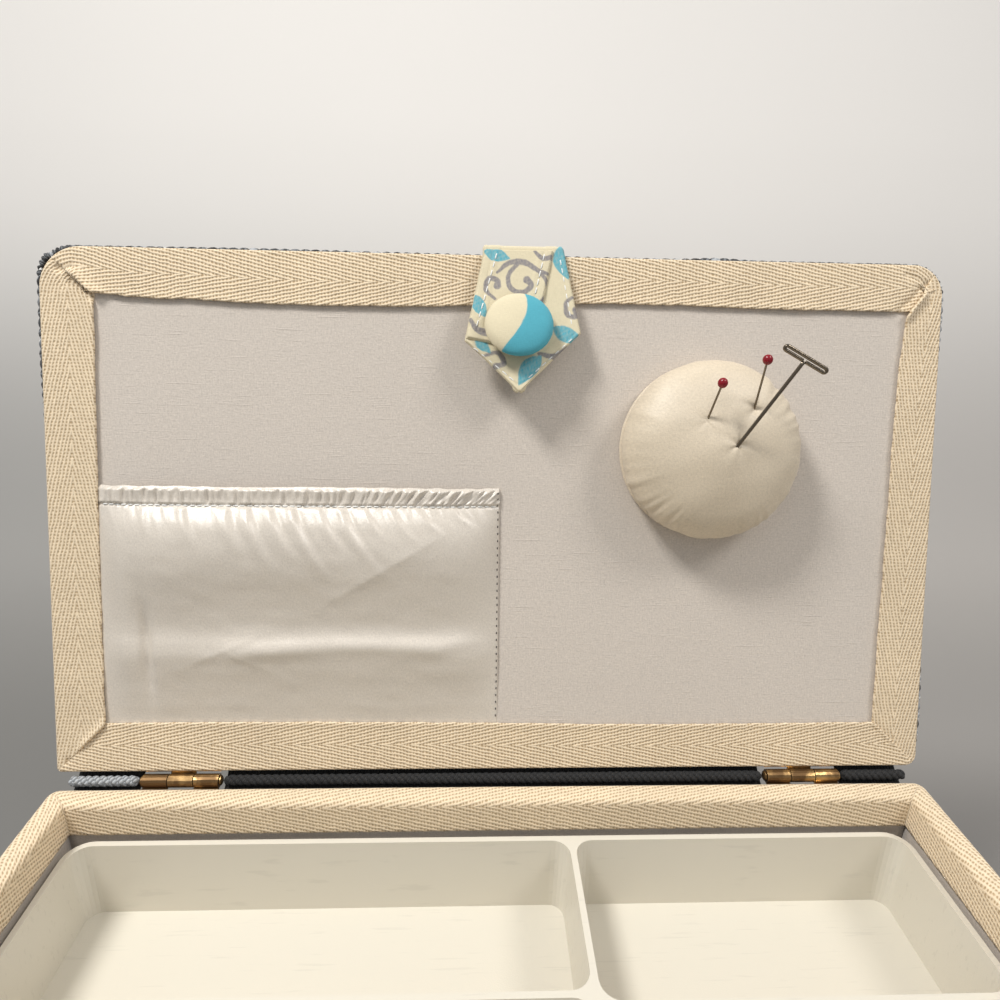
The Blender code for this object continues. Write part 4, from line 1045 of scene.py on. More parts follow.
def ring_path(start, inset, steps):
    """Points and outward directions round the body, each row inset from a start under its face.

    steps gives the points on a long side, on a short side and in a corner. Corners keep their own
    middles until the inset passes their radius, and stay a little round after that. The last point
    is the first one again, and the third result is the distance along the first row of points.
    """
    inset = np.asarray(inset, float)[:, None]
    half_x, half_y = HALF_WIDTH - start, HALF_DEPTH - start
    front, back = FRONT_RADIUS - start, BACK_RADIUS - start
    corners = ((1, -1, front), (1, 1, back), (-1, 1, back), (-1, -1, front))
    bends = []
    for number, (side_x, side_y, radius) in enumerate(corners):
        left = np.maximum(radius - inset, 0.3 * MM)
        turn = np.linspace(number - 1, number, steps[2])[None, :] * math.pi / 2
        way = stacked(np.cos(turn), np.sin(turn))
        middle = stacked(side_x * (half_x - inset - left), side_y * (half_y - inset - left))
        bends.append((middle + left[..., None] * way, way + 0 * left[..., None]))
    points, ways = [], []
    for number, (bend, way) in enumerate(bends):
        share = np.linspace(0, 1, steps[1 - number % 2] + 2)[1:-1][None, :, None]
        straight = bend[:, -1:] * (1 - share) + bends[(number + 1) % 4][0][:, :1] * share
        points += [bend, straight]
        ways += [way, way[:, -1:] + 0 * straight]
    points = np.concatenate((*points, points[0][:, :1]), 1)
    ways = np.concatenate((*ways, ways[0][:, :1]), 1)
    return points, ways, run_along(points[0])


HINGE_PLACE = 110.0 * MM
HINGE_GAP = 14.5 * MM
SKIN_FOOT = 0.6 * MM
SKIN_TOP = 138.2 * MM
SKIN_TOP_AT_HINGE = 136.2 * MM


def make_body_skin():
    """The woven cord round the body, in four runs that share their edges.

    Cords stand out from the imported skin's face along its outward direction by the height of the
    weave. A whole even number of cords goes round. The top is lower behind the hinges' leaves.
    """
    around = 4 * (HALF_WIDTH + HALF_DEPTH) - (8 - math.tau) * (FRONT_RADIUS + BACK_RADIUS) / 2
    quarter = int(round(around / CORD_PITCH / 4)) * CORD_SAMPLES
    ring, outwards, run = ring_path(0.0, [0.0], (2, 2, 24))
    places = np.linspace(0, run[-1], 4 * quarter + 1)
    spot, way = (along_path(part[0], run, places) for part in (ring, outwards))
    way /= np.linalg.norm(way, axis=1)[:, None]
    rows = int((SKIN_TOP - SKIN_FOOT) / CORD_PITCH * CORD_SAMPLES) + 1
    a = np.arange(4 * quarter + 1)[None, :] / CORD_SAMPLES
    b = np.arange(rows)[:, None] / CORD_SAMPLES + 0.5
    z = np.linspace(SKIN_FOOT, SKIN_TOP, rows)[:, None]
    at_hinge = np.abs(np.abs(spot[:, 0]) - HINGE_PLACE) < HINGE_GAP
    at_hinge = at_hinge & (spot[:, 1] > HALF_DEPTH - 1 * MM)
    z = np.minimum(z, np.where(at_hinge, SKIN_TOP_AT_HINGE, SKIN_TOP)[None, :])
    end = smooth_step(z, SKIN_TOP - 1.4 * MM, SKIN_TOP)
    end = end + smooth_step(-z, -SKIN_FOOT - 1.4 * MM, -SKIN_FOOT)
    lift = (weave_height(a, b) - CORD_SINK) * (1 - end) - CORD_END * end
    points = np.concatenate((spot + way * lift[..., None], z[..., None]), -1)
    uv = stacked(a * CORD_PITCH, b * CORD_PITCH)
    for number, side in enumerate(("right", "back", "left", "front")):
        piece = slice(number * quarter, (number + 1) * quarter + 1)
        obj = grid_object(f"woven_cord_{side}", points[:, piece], uv[:, piece])
        thicken(obj, 1.2 * MM)
        dress(obj, CORD, "basket_body", ("woven_body_skin",))


def make_lid_skin():
    """The woven cord over the lid's outside, in a left and a right half.

    It is one flat cloth laid on the lid's back. Past the edge it rolls on a small circle and runs
    up the side. At a corner the cloth's square fans out round the corner's middle. The weave stands
    out along the surface's own direction.
    """
    roll = 2.5 * MM
    side = 7.0 * MM
    corner = FRONT_RADIUS
    flat = corner - roll
    bend = roll * math.pi / 2
    reach = flat + bend + side
    core_x, core_y = HALF_WIDTH - corner, HALF_DEPTH - corner
    count_x = int(round(2 * (core_x + reach) / CORD_PITCH))
    count_y = int(round(2 * (core_y + reach) / CORD_PITCH))
    a = (np.arange(count_x * CORD_SAMPLES + 1) / CORD_SAMPLES)[None, :]
    b = (np.arange(count_y * CORD_SAMPLES + 1) / CORD_SAMPLES)[:, None]
    p = (a / count_x * 2 - 1) * (core_x + reach) + 0 * b
    q = (b / count_y * 2 - 1) * (core_y + reach) + 0 * a
    dx = np.clip(np.abs(p) - core_x, 0, None)
    dy = np.clip(np.abs(q) - core_y, 0, None)
    far = np.maximum(dx, dy)
    length = np.maximum(np.hypot(dx, dy), 1e-9)
    way_x, way_y = dx / length * np.sign(p), dy / length * np.sign(q)
    turn = np.clip((far - flat) / roll, 0, math.pi / 2)
    radial = np.minimum(far, flat) + roll * np.sin(turn)
    rise = roll * (1 - np.cos(turn)) + np.clip(far - flat - bend, 0, None)
    x = np.clip(p, -core_x, core_x) + way_x * radial
    y = np.clip(q, -core_y, core_y) + way_y * radial
    end = smooth_step(rise, roll + side - 1.2 * MM, roll + side)
    lift = (weave_height(a, b) - CORD_SINK) * (1 - end) - CORD_END * end
    up, over = q / MM, p / MM
    left_show = smooth_step(up, 20, 55) * (over < 0)
    right_show = (bump_at(up, 72, 16) + bump_at(up, -68, 20)) * (over > 0)
    top_show = 0.6 * bump_at(over, 74, 9) + 0.35 * bump_at(over, -80, 40)
    show = 0.95 * (left_show + right_show) * (dx > dy) + top_show * (dy > dx) * (up > 0)
    lift = lift + show * MM * smooth_step(turn, 0.9, 1.5)
    lift = np.where(q < 3 * MM - HALF_DEPTH, np.minimum(lift, 0.35 * MM), lift)
    points = lid_points(
        x + way_x * np.sin(turn) * lift,
        y + way_y * np.sin(turn) * lift,
        SKIN_BACK + rise - np.cos(turn) * lift,
    )
    uv = stacked(a * CORD_PITCH, b * CORD_PITCH)
    half = count_x // 2 * CORD_SAMPLES
    for name, piece in (("left", slice(0, half + 1)), ("right", slice(half, None))):
        obj = grid_object(f"woven_cord_lid_{name}", points[:, piece], uv[:, piece], flip=True)
        thicken(obj, 1.0 * MM)
        dress(obj, CORD, "lid", ("woven_lid_skin",))


RIM_INSET = 0.8 * MM
# The rim tape's profile: inset and height, from outside over the rim to inside, in millimetres
RIM_PROFILE = (
    (0.15, -1.5), (-0.25, -1.1), (-0.1, -0.5), (0.5, -0.12), (1.4, 0.0), (3.6, 0.06), (5.4, 0.0),
    (6.6, -0.2), (7.25, -0.7), (7.55, -1.5), (7.6, -3.0), (7.6, -6.0), (7.6, -9.0), (7.6, -11.5),
    (7.55, -12.4),
)


def make_rim_tape():
    """Cream twill over the top edge of the body's walls.

    A profile of inset and height is carried round the rim: a rolled outer edge, a nearly flat top,
    a small roll and the drop inside. The distance along the profile is the tape's own width.
    """
    inside = HALF_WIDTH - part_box("right_lining")[0][0] + 0.1 * MM
    profile = np.array(RIM_PROFILE) * MM
    profile[:, 0] *= inside / (7.6 * MM)
    length = run_along(profile)
    fine = np.linspace(0, length[-1], 32)
    profile = along_path(profile, length, fine)
    fine = fine[:, None]
    points, ways, run = ring_path(RIM_INSET, profile[:, 0], (455, 264, 16))
    total = run[-1]
    lap = run % total
    waver = 0.12 * MM * soft_noise(lap, fine * 0.8, 31 * MM, 81)
    fray = 0.18 * MM * soft_noise(lap, 0 * lap, 2.2 * MM, 82)
    z = BODY_TOP - 0.15 * MM + profile[:, 1:] + waver * 0.5
    z = z + fray * smooth_step(fine, length[-1] - 3 * MM, length[-1])
    points = np.concatenate((points - ways * waver[..., None] * 0.2, z[..., None]), -1)
    obj = grid_object("twill_rim_tape", points, stacked(run, fine * TAPE_WIDTH / length[-1]))
    obj.data.flip_normals()
    clean_mesh(obj)
    thicken(obj, 0.8 * MM)
    dress(obj, TWILL, "basket_body", ("rim_tape",))


def make_hinge_cord():
    """The braid that closes the gap behind the rim, in lengths between the hinges.

    Three plies wind round the length's middle line: each is a circle whose own middle turns about
    that line as it goes along, and both ends narrow to the middle line.
    """
    plies = []
    for x0, x1 in ((-148.5, -124.5), (-95.5, 95.5), (124.5, 148.5)):
        x = np.linspace(x0, x1, int((x1 - x0) * 2.6)) * MM
        ends = smooth_step(x, x0 * MM, (x0 + 1.6) * MM)
        ends = ends * smooth_step(-x, -x1 * MM, (1.6 - x1) * MM)
        for number in range(3):
            turn = x / (7.4 * MM) * math.tau + number * math.tau / 3
            off = 0.85 * MM * ends
            path = stacked(x, HINGE[1] + off * np.cos(turn), HINGE[2] + off * np.sin(turn))
            ply = tube(f"strand_{number}", path, 1.02 * MM * (0.25 + 0.75 * ends**0.5), 9)
            corners = np.empty(len(ply.data.loops), np.int32)
            ply.data.loops.foreach_get("vertex_index", corners)
            spots = np.array([v.co for v in ply.data.vertices], np.float32)[corners]
            around = np.arctan2(spots[:, 2] - HINGE[2], spots[:, 1] - HINGE[1]) * 1.5 * MM
            uv = np.stack((spots[:, 0] + number * 0.31, around), -1)
            layer = ply.data.uv_layers.new(name="cloth")
            layer.data.foreach_set("uv", uv.astype(np.float32).ravel())
            plies.append(ply)
    cord = join("hinge_cord", plies)
    dress(cord, twist_finish(), "basket_body")


# The gusset's path back and up from the hinge's axis, in millimetres
GUSSET_PATH = (
    (-1.05, -6.0), (-0.95, -4.0), (0.6, -3.0), (2.5, -2.3), (4.3, -0.55), (5.6, 0.15), (7.3, -0.3),
)


def make_hinge_gusset():
    """Dark webbing behind the hinge cord, from the body's back to under the lid's lower edge.

    A smooth path through a few places is carried across each length between the hinges.
    """
    knots = np.linspace(0, 1, len(GUSSET_PATH))
    share = np.linspace(0, 1, 30)
    path = np.stack([curve_through(share, knots, places) for places in zip(*GUSSET_PATH)], -1) * MM
    run = run_along(path)
    back, up = path[:, :1], path[:, 1:]
    for number, (x0, x1) in enumerate(((-147.0, -124.5), (-95.5, 95.5), (124.5, 147.0))):
        x = np.linspace(x0, x1, int((x1 - x0) / 1.2))[None, :] * MM
        ripple = 0.12 * MM * soft_noise(x, back, 7 * MM, 85)
        points = stacked(x, HINGE[1] + back + ripple, HINGE[2] + up - ripple * 0.5)
        obj = grid_object(f"hinge_gusset_{number}", points, stacked(x, run[:, None]), flip=True)
        thicken(obj, 0.5 * MM)
        dress(obj, GUSSET, None)
        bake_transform(obj)


CUSHION_ACROSS = 70.9 * MM
CUSHION_UP = 24.7 * MM
# The cushion's profile from its crown over its girth to its foot: radius and height, in millimetres
CUSHION_PROFILE = (
    (0.0, 22.6), (3.0, 22.45), (6.0, 22.0), (9.0, 21.3), (12.5, 20.4), (16.0, 19.4), (19.5, 18.2),
    (22.8, 16.7), (25.6, 14.8), (27.7, 12.6), (29.1, 10.2), (29.9, 7.6), (30.1, 5.4), (29.8, 3.7),
    (29.0, 2.3), (27.9, 1.2),
)
# Where its pleats gather: the turn round it and how far they spread
CUSHION_GATHERS = ((3.9, 0.55), (0.6, 0.5), (5.4, 0.4))
# Each pin: where it enters across and up, how deep the satin dips there and how deep the folds
# round it are, in millimetres
PINS = (
    ("ball_pin_1", (64.8, 33.9), 0.35, 0.12),
    ("ball_pin_2", (80.8, 37.8), 1.80, 0.15),
    ("t_pin_body", (74.3, 26.4), 0.60, 0.25),
)


def make_pincushion():
    """The stuffed satin pincushion.

    A profile from the crown's middle out to its girth and in under it is turned round. Pleats are
    waves round the rim that fade towards the crown, deeper in some places than in others, and the
    satin dips where a pin goes in.
    """
    turn = np.linspace(0, math.tau, 288, endpoint=False)[None, :]
    cosine, sine = np.cos(turn), np.sin(turn)
    profile = np.array(CUSHION_PROFILE)
    run = run_along(profile)
    q = np.linspace(0, 1, 96)[:, None]
    reach, crown = (curve_through(q * run[-1], run, column) * MM for column in profile.T)
    near_rim = smooth_step(q, 0.42, 0.74) * (1 - 0.6 * smooth_step(q, 0.86, 1.0))
    folds = soft_noise(cosine * 9, sine * 9, 3.1, 91, 2)
    sharp = 0.4 - np.abs(soft_noise(cosine * 14, sine * 14, 4.0, 92, 2))
    chosen = 0.08
    for place, spread in CUSHION_GATHERS:
        chosen = chosen + 0.85 * bump_at(np.angle(np.exp(1j * (turn - place))), 0, spread)
    swell = (0.22 * folds + 0.95 * sharp * chosen) * MM * near_rim
    broad = 0.50 * MM * soft_noise(reach * cosine / MM, reach * sine / MM, 34, 93, 2)
    radius = reach + swell * smooth_step(q, 0.5, 0.8)
    x, y = radius * cosine, radius * sine
    z = crown + (swell * 0.5 + broad) * (1 - smooth_step(q, 0.62, 0.82))
    for _, (across, up), dip, star in PINS:
        dx, dy = x + CUSHION_ACROSS - across * MM, y + CUSHION_UP - up * MM
        gap = np.hypot(dx, dy)
        sunk = dip * np.exp(-((gap / (1.8 * MM)) ** 1.3))
        sunk = sunk + star * np.exp(-gap / (5 * MM)) * np.cos(5 * np.arctan2(dy, dx))
        z = z - (q < 0.75) * sunk * MM
    points = lid_points(CUSHION_ACROSS + x, CUSHION_UP + y, z)
    obj = turned_object("satin_cushion", points, stacked(x, y))
    dress(obj, CUSHION_SATIN, "lid", ("pincushion",))


# The disc's profile from its front's middle over its edge to its back's: radius and height, in
# millimetres
BOARD_PROFILE = (
    (0.0, 1.15), (20.0, 1.15), (28.2, 1.15), (29.4, 1.05), (29.9, 0.75), (30.0, 0.2),
    (29.8, -0.35), (29.2, -0.75), (20.0, -0.85), (0.0, -0.85),
)


def make_cushion_board():
    """The covered disc under the cushion: a turned profile with a rolled edge."""
    turn = np.linspace(0, math.tau, 160, endpoint=False)
    radius, height = np.array(BOARD_PROFILE).T[..., None] * MM
    x, y = radius * np.cos(turn), radius * np.sin(turn)
    points = lid_points(CUSHION_ACROSS + x, CUSHION_UP + y, height)
    obj = turned_object("covered_disc", points, stacked(x, y))
    dress(obj, CUSHION_SATIN, "lid", ("pincushion_board",))


def pin_shaft(name, node, start, way, radius, taper, thinnest, count):
    """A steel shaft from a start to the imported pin's tip, narrowed there over a taper."""
    ends = np.array([v.co for v in frame["nodes"][node].data.vertices])
    point = start + way * ((ends - start) @ way).min()
    share = np.linspace(0, 1, count)
    path = point + (start - point) * share[:, None]
    return tube(name, path, np.maximum(radius * smooth_step(share, *taper), thinnest), 12)


def make_ball_pins():
    """Glass heads, a little longer than round, on shafts that end in a point in the cushion."""
    turn = np.linspace(0, math.tau, 32, endpoint=False)[:, None]
    angle = np.linspace(0, math.pi, 22)[:, None, None]
    size = 1.6 * MM * (1 + 0.03 * np.cos(2 * angle))
    for name in ("ball_pin_1", "ball_pin_2"):
        low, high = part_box(f"{name}_head")
        middle = np.array((low + high) / 2)
        way = JOINT_WAYS[f"{name}_pull"]
        taper = (-0.02, 0.09)
        node = f"{name}_shaft"
        pin = pin_shaft(f"{name}_steel", node, middle, way, 0.34 * MM, taper, 0.03 * MM, 30)
        dress(pin, NICKEL, name, (f"{name}_shaft",))
        side = np.cross(way, (1, 0, 0))
        side /= np.linalg.norm(side)
        ring = side * np.cos(turn) + np.cross(way, side) * np.sin(turn)
        points = middle + np.cos(angle) * size * way + np.sin(angle) * size * ring
        head = turned_object(f"{name}_glass", points)
        dress(head, RED_GLASS, name, (f"{name}_head",))


def make_t_pin():
    """The T-pin: one wire runs out along the head, back past the shaft and in again."""
    way = JOINT_WAYS["t_pin_pull"]
    head = lid_points(88.5 * MM, 51.8 * MM, 35.0 * MM)
    across = 14.0 * ACROSS_LID - 6.8 * UP_LID
    across = across - way * across.dot(way)
    across /= np.linalg.norm(across)
    half, bend = 7.3 * MM, 0.69 * MM
    turn = np.linspace(-math.pi / 2, math.pi / 2, 12)
    right = np.stack((half - bend + bend * np.cos(turn), bend * np.sin(turn)), -1)
    start = (0.5 * MM, -bend)
    loop = resample(np.vstack((start, right, -right, (-start[0], -bend))), 110)
    path = head + loop[:, :1] * across + loop[:, 1:] * way
    wire = tube("t_pin_loop", path, 0.56 * MM, 12)
    taper = (-0.01, 0.07)
    neck = head - way * bend
    shaft = pin_shaft("t_pin_shaft", "t_pin", neck, way, 0.58 * MM, taper, 0.04 * MM, 40)
    pin = join("t_pin_wire", [wire, shaft])
    dress(pin, NICKEL, "t_pin_body", ("t_pin",))


TAB_AT = 6.6 * MM
TAB_SLOPE = math.radians(12.0)
TAB_AXIS_UP = 90.85 * MM
TAB_AXIS_OUT = 1.2 * MM
TAB_LENGTH = 48.9 * MM


def tab_points(x, y, w):
    """World points from distances across the tab, down it from its axis, and out of its face."""
    up = TAB_AXIS_UP - y * math.cos(TAB_SLOPE) + w * math.sin(TAB_SLOPE)
    out = TAB_AXIS_OUT + y * math.sin(TAB_SLOPE) + w * math.cos(TAB_SLOPE)
    return lid_points(TAB_AT + x, up, out)


def scroll_ink(x, y, strokes):
    """How far inside the ink of a few scrolls each point lies, 0 to 1.

    A scroll is a smooth curve through a few places. Its half width swells from its start to its
    middle and again to its round end, and a point lies in the ink of the nearest of its samples.
    """
    ink = np.zeros(np.broadcast(x, y).shape)
    share = np.linspace(0, 1, 46)
    for places, widths in strokes:
        places = np.array(places, float)
        knots = np.linspace(0, 1, len(places))
        line_x = curve_through(share, knots, places[:, 0])
        line_y = curve_through(share, knots, places[:, 1])
        half = np.interp(share, (0, 0.55, 0.85, 1), widths)
        gap = np.full(ink.shape, 9.0)
        for spot_x, spot_y, reach in zip(line_x, line_y, half):
            gap = np.minimum(gap, np.hypot(x - spot_x, y - spot_y) - reach)
        ink = np.maximum(ink, smooth_step(-gap, -0.12, 0.16))
    return ink


def leaf_ink(x, y, leaves):
    """How far inside the ink of a few leaves each point lies, each a lens with a bent tip."""
    ink = np.zeros(np.broadcast(x, y).shape)
    for middle_x, middle_y, angle, length, width in leaves:
        along = (x - middle_x) * math.cos(angle) + (y - middle_y) * math.sin(angle)
        side = -(x - middle_x) * math.sin(angle) + (y - middle_y) * math.cos(angle)
        side = side + 0.12 * along**2 / length
        share = np.clip(along / length * 0.5 + 0.5, 0, 1)
        half = width * np.sin(math.pi * share) ** 0.8 * (1.25 - 0.5 * share)
        body = smooth_step(half - np.abs(side), 0.0, 0.3)
        ink = np.maximum(ink, body)
    return ink


CREAM_GROUND = np.array((0.66, 0.585, 0.41))
GREY_INK = np.array((0.215, 0.20, 0.215))
TURQUOISE_INK = np.array((0.075, 0.36, 0.45))


def dyed(x, y, strokes, leaves):
    """The print's colour at each point: cream ground, grey scrolls, then leaves over them."""
    x = x + 0.10 * soft_noise(x, y, 3.0, 95, 2)
    y = y + 0.10 * soft_noise(x, y, 3.0, 96, 2)
    colour = CREAM_GROUND + 0 * x[..., None]
    worn = 0.86 + 0.16 * soft_noise(x, y, 1.2, 97, 2)
    inks = ((scroll_ink(x, y, strokes), GREY_INK), (leaf_ink(x, y, leaves), TURQUOISE_INK))
    for ink, dye in inks:
        share = (ink * np.clip(worn, 0, 1))[..., None]
        colour = colour * (1 - share) + dye * share
    return colour


# The print on each layer, in millimetres across the tab and down it from its axis. A scroll is
# the places it runs through and its half widths. A leaf is its middle, turn, half length and
# half width.
TOP_SCROLLS = (
    (((11.0, 9.5), (5.5, 8.2), (0.5, 5.2), (-4.6, 5.4), (-8.6, 8.8)), (0.5, 1.15, 0.75, 0.5)),
    (
        ((-1.2, 5.0), (-4.8, 9.5), (-4.2, 14.2), (-0.2, 15.6), (2.6, 13.2), (1.2, 11.2)),
        (0.7, 0.95, 1.0, 1.25),
    ),
    (((4.8, 8.2), (7.6, 11.2), (8.4, 15.4), (5.6, 19.0)), (0.4, 0.95, 0.7, 0.5)),
    (
        ((-9.4, 18.0), (-12.4, 15.0), (-11.4, 11.2), (-8.6, 11.6), (-8.6, 13.6)),
        (0.5, 1.0, 0.9, 1.25),
    ),
    (((3.8, 1.2), (6.4, 3.6), (9.6, 3.2)), (0.5, 0.9, 0.9, 1.1)),
    (((-17.4, 25.2), (-15.2, 28.6), (-11.0, 29.6), (-8.4, 27.0)), (0.6, 1.3, 1.2, 0.9)),
)
TOP_LEAVES = (
    (-9.0, 2.6, 0.4, 5.0, 2.6),
    (9.2, 20.5, 1.9, 6.0, 2.8),
    (-14.4, 21.0, 1.1, 4.6, 2.3),
    (-2.8, 35.0, 0.2, 6.0, 2.6),
)
UNDER_SCROLLS = (
    (((17.6, 15.8), (14.4, 18.2), (14.6, 22.4), (17.6, 23.0), (17.4, 20.8)), (0.5, 0.9, 0.9, 1.1)),
    (((14.5, 33.5), (10.2, 36.8), (5.2, 36.0)), (0.4, 1.0, 0.8, 0.6)),
    (((-12.5, 37.0), (-8.2, 36.0), (-6.4, 39.4), (-9.0, 40.6)), (0.5, 1.0, 0.9, 1.1)),
    (((-4.0, -9.0), (2.0, -6.0), (7.5, -9.5), (6.0, -14.0), (2.4, -13.0)), (0.6, 1.2, 1.0, 1.3)),
    (((8.0, -20.0), (2.0, -22.0), (-4.0, -19.5), (-8.0, -23.5)), (0.5, 1.2, 0.8, 0.6)),
    (
        ((-2.0, -22.0), (-4.5, -27.0), (-1.0, -30.5), (2.8, -28.5), (1.6, -26.2)),
        (0.7, 1.0, 1.0, 1.3),
    ),
    (
        ((9.0, -35.0), (4.0, -37.5), (-1.0, -35.0), (-6.0, -38.0), (-9.0, -43.0)),
        (0.5, 1.2, 0.9, 0.5),
    ),
)
UNDER_LEAVES = (
    (13.4, 4.2, 1.4, 6.4, 3.4),
    (14.6, 29.6, 0.4, 5.6, 2.8),
    (1.6, 41.4, 2.2, 6.4, 3.0),
    (-13.4, 33.4, 0.9, 4.0, 2.0),
    (18.4, 14.0, 1.7, 4.2, 2.0),
    (-7.0, -14.0, 0.8, 4.6, 2.1),
    (8.0, -27.5, 2.0, 4.6, 2.1),
    (-7.5, -32.0, 0.4, 4.4, 1.9),
    (5.0, -43.0, 1.2, 4.4, 2.0),
)


def make_tab_under():
    """The tab's lower layer and the strap that carries it, one printed cloth.

    A path runs up the lid's outside, over its edge, folds back and runs down the tab. Across it the
    cloth is as wide as the strap, widens to the tab's two shoulders and narrows to its point. Hems
    are a raised band inside each edge, with a groove where they are stitched.
    """
    outside, edge = -13.1 * MM, 92.0 * MM
    bend, fold = 2.0 * MM, 1.1 * MM
    start = np.array((56.0 * MM, outside))
    over = np.linspace(0, math.pi / 2, 9)
    back = np.linspace(0, math.pi / 2 - TAB_SLOPE, 9)
    down = np.linspace(1.2, 49.0, 60) * MM
    outer_bend = stacked(edge - bend + bend * np.sin(over), outside + bend - bend * np.cos(over))
    inner_bend = stacked(edge - fold + fold * np.cos(back), 0.2 * MM + fold * np.sin(back))
    tab_run = stacked(
        TAB_AXIS_UP - down * math.cos(TAB_SLOPE), TAB_AXIS_OUT + down * math.sin(TAB_SLOPE)
    )
    path = resample(np.vstack((start, outer_bend, inner_bend, tab_run)), 320)
    way = np.gradient(path, axis=0)
    way /= np.linalg.norm(way, axis=1)[:, None]
    face = np.stack((way[:, 1], -way[:, 0]), -1)
    run = run_along(path)
    y = ((run - run[-1] + TAB_LENGTH) / MM)[:, None]
    left = np.where(
        y < 32.0,
        -np.interp(y, (-60, 2, 32.0), (13.35, 13.35, 19.3)),
        -19.3 + 17.5 * np.clip((y - 32.0) / 16.9, 0, None) ** 0.96,
    )
    right = np.where(
        y < 28.8,
        np.interp(y, (-60, -2, 2, 28.8), (13.35, 13.35, 14.2, 19.2)),
        19.2 - 20.0 * np.clip((y - 28.8) / 20.1, 0, None) ** 0.97,
    )
    share = np.linspace(0, 1, 149)[None, :]
    fray = 0.12 * soft_noise(y, 0 * y, 4.0, 98)
    x = left + (right - left) * share + fray * (2 * share - 1)
    y = y + 0 * x
    from_edge = np.minimum(np.minimum(x - left, right - x), (49.2 - y) * 0.7)
    hem = 0.30 * smooth_step(from_edge, 0.0, 0.7) * (1 - 0.6 * smooth_step(from_edge, 5.2, 6.4))
    hem = hem - 0.14 * bump_at(from_edge, 1.9, 0.45) - 0.40 * bump_at(from_edge, 0.0, 0.35)
    waves = 0.30 * soft_noise(x, y, 19.0, 99) * smooth_step(y, 6, 20)
    lift = (hem + 0.12 + 0.5 * waves) * MM
    up = path[:, :1] + face[:, :1] * lift
    out = path[:, 1:] + face[:, 1:] * lift
    points = lid_points(TAB_AT + x * MM, up, out)
    colours = dyed(x, y, UNDER_SCROLLS, UNDER_LEAVES)
    obj = grid_object("printed_tab_under", points, stacked(x, y) * MM, colours)
    obj.data.flip_normals()
    thicken(obj, 1.0 * MM)
    dress(obj, PRINT, None, ("tab_under_layer", "tab_strap"))
    blend_tab(obj)


def blend_tab(obj):
    """Bakes the piece's transform; two points beside the tab's axis are worked out and not used."""
    axis = lid_points(TAB_AT, TAB_AXIS_UP, 0.0)
    tuple(axis - 0.5 * MM * OUT_OF_LID)
    tuple(axis + 2.0 * MM * OUT_OF_LID)
    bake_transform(obj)


def tab_top_edge(share, side):
    """Places along the upper layer's left (side 0) or right (side 1) edge, in millimetres."""
    length, places = ((30.6, (-12.9, -16.1, -18.9)), (34.6, (10.2, 6.9, 2.4)))[side]
    down = 0.9 + length * share
    return np.interp(down, (0.9, 17.0, 0.9 + length), places), down


def make_tab_top():
    """The tab's upper layer: a printed strip that leans left, ruled between its two edges.

    Its hem stands up inside each edge, with a groove where it is stitched, and the end under the
    button is folded too.
    """
    fall = np.linspace(0, 1, 141)[:, None]
    share = np.linspace(0, 1, 101)[None, :]
    left_x, left_y = tab_top_edge(fall, 0)
    right_x, right_y = tab_top_edge(fall, 1)
    waver = 0.13 * soft_noise(fall * 33, 0 * fall, 5.0, 101) * (2 * share - 1)
    x = left_x * (1 - share) + right_x * share + waver
    y = left_y * (1 - share) + right_y * share
    from_side = np.minimum(share, 1 - share) * (right_x - left_x)
    from_edge = np.minimum(from_side, (1 - fall) * 33)
    hem = 0.42 * smooth_step(from_edge, 0.0, 0.8) - 0.16 * bump_at(from_edge, 3.0, 0.45)
    hem = hem - 0.45 * bump_at(from_edge, 0.0, 0.35) - 0.22 * smooth_step(from_edge, 4.4, 5.6)
    waves = 0.25 * soft_noise(x, y, 16.0, 102) * smooth_step(y, 4, 12)
    points = tab_points(x * MM, y * MM, (1.15 + hem + waves) * MM)
    colours = dyed(x, y, TOP_SCROLLS, TOP_LEAVES)
    obj = grid_object("printed_tab_top", points, stacked(x, y) * MM, colours)
    obj.data.flip_normals()
    thicken(obj, 0.9 * MM)
    dress(obj, PRINT, None, ("tab_top_layer",))
    blend_tab(obj)


BUTTON_DOWN = 28.0 * MM
BUTTON_RADIUS = 11.2 * MM
BUTTON_SEAT = 2.8 * MM
BUTTON_RISE = 5.0 * MM


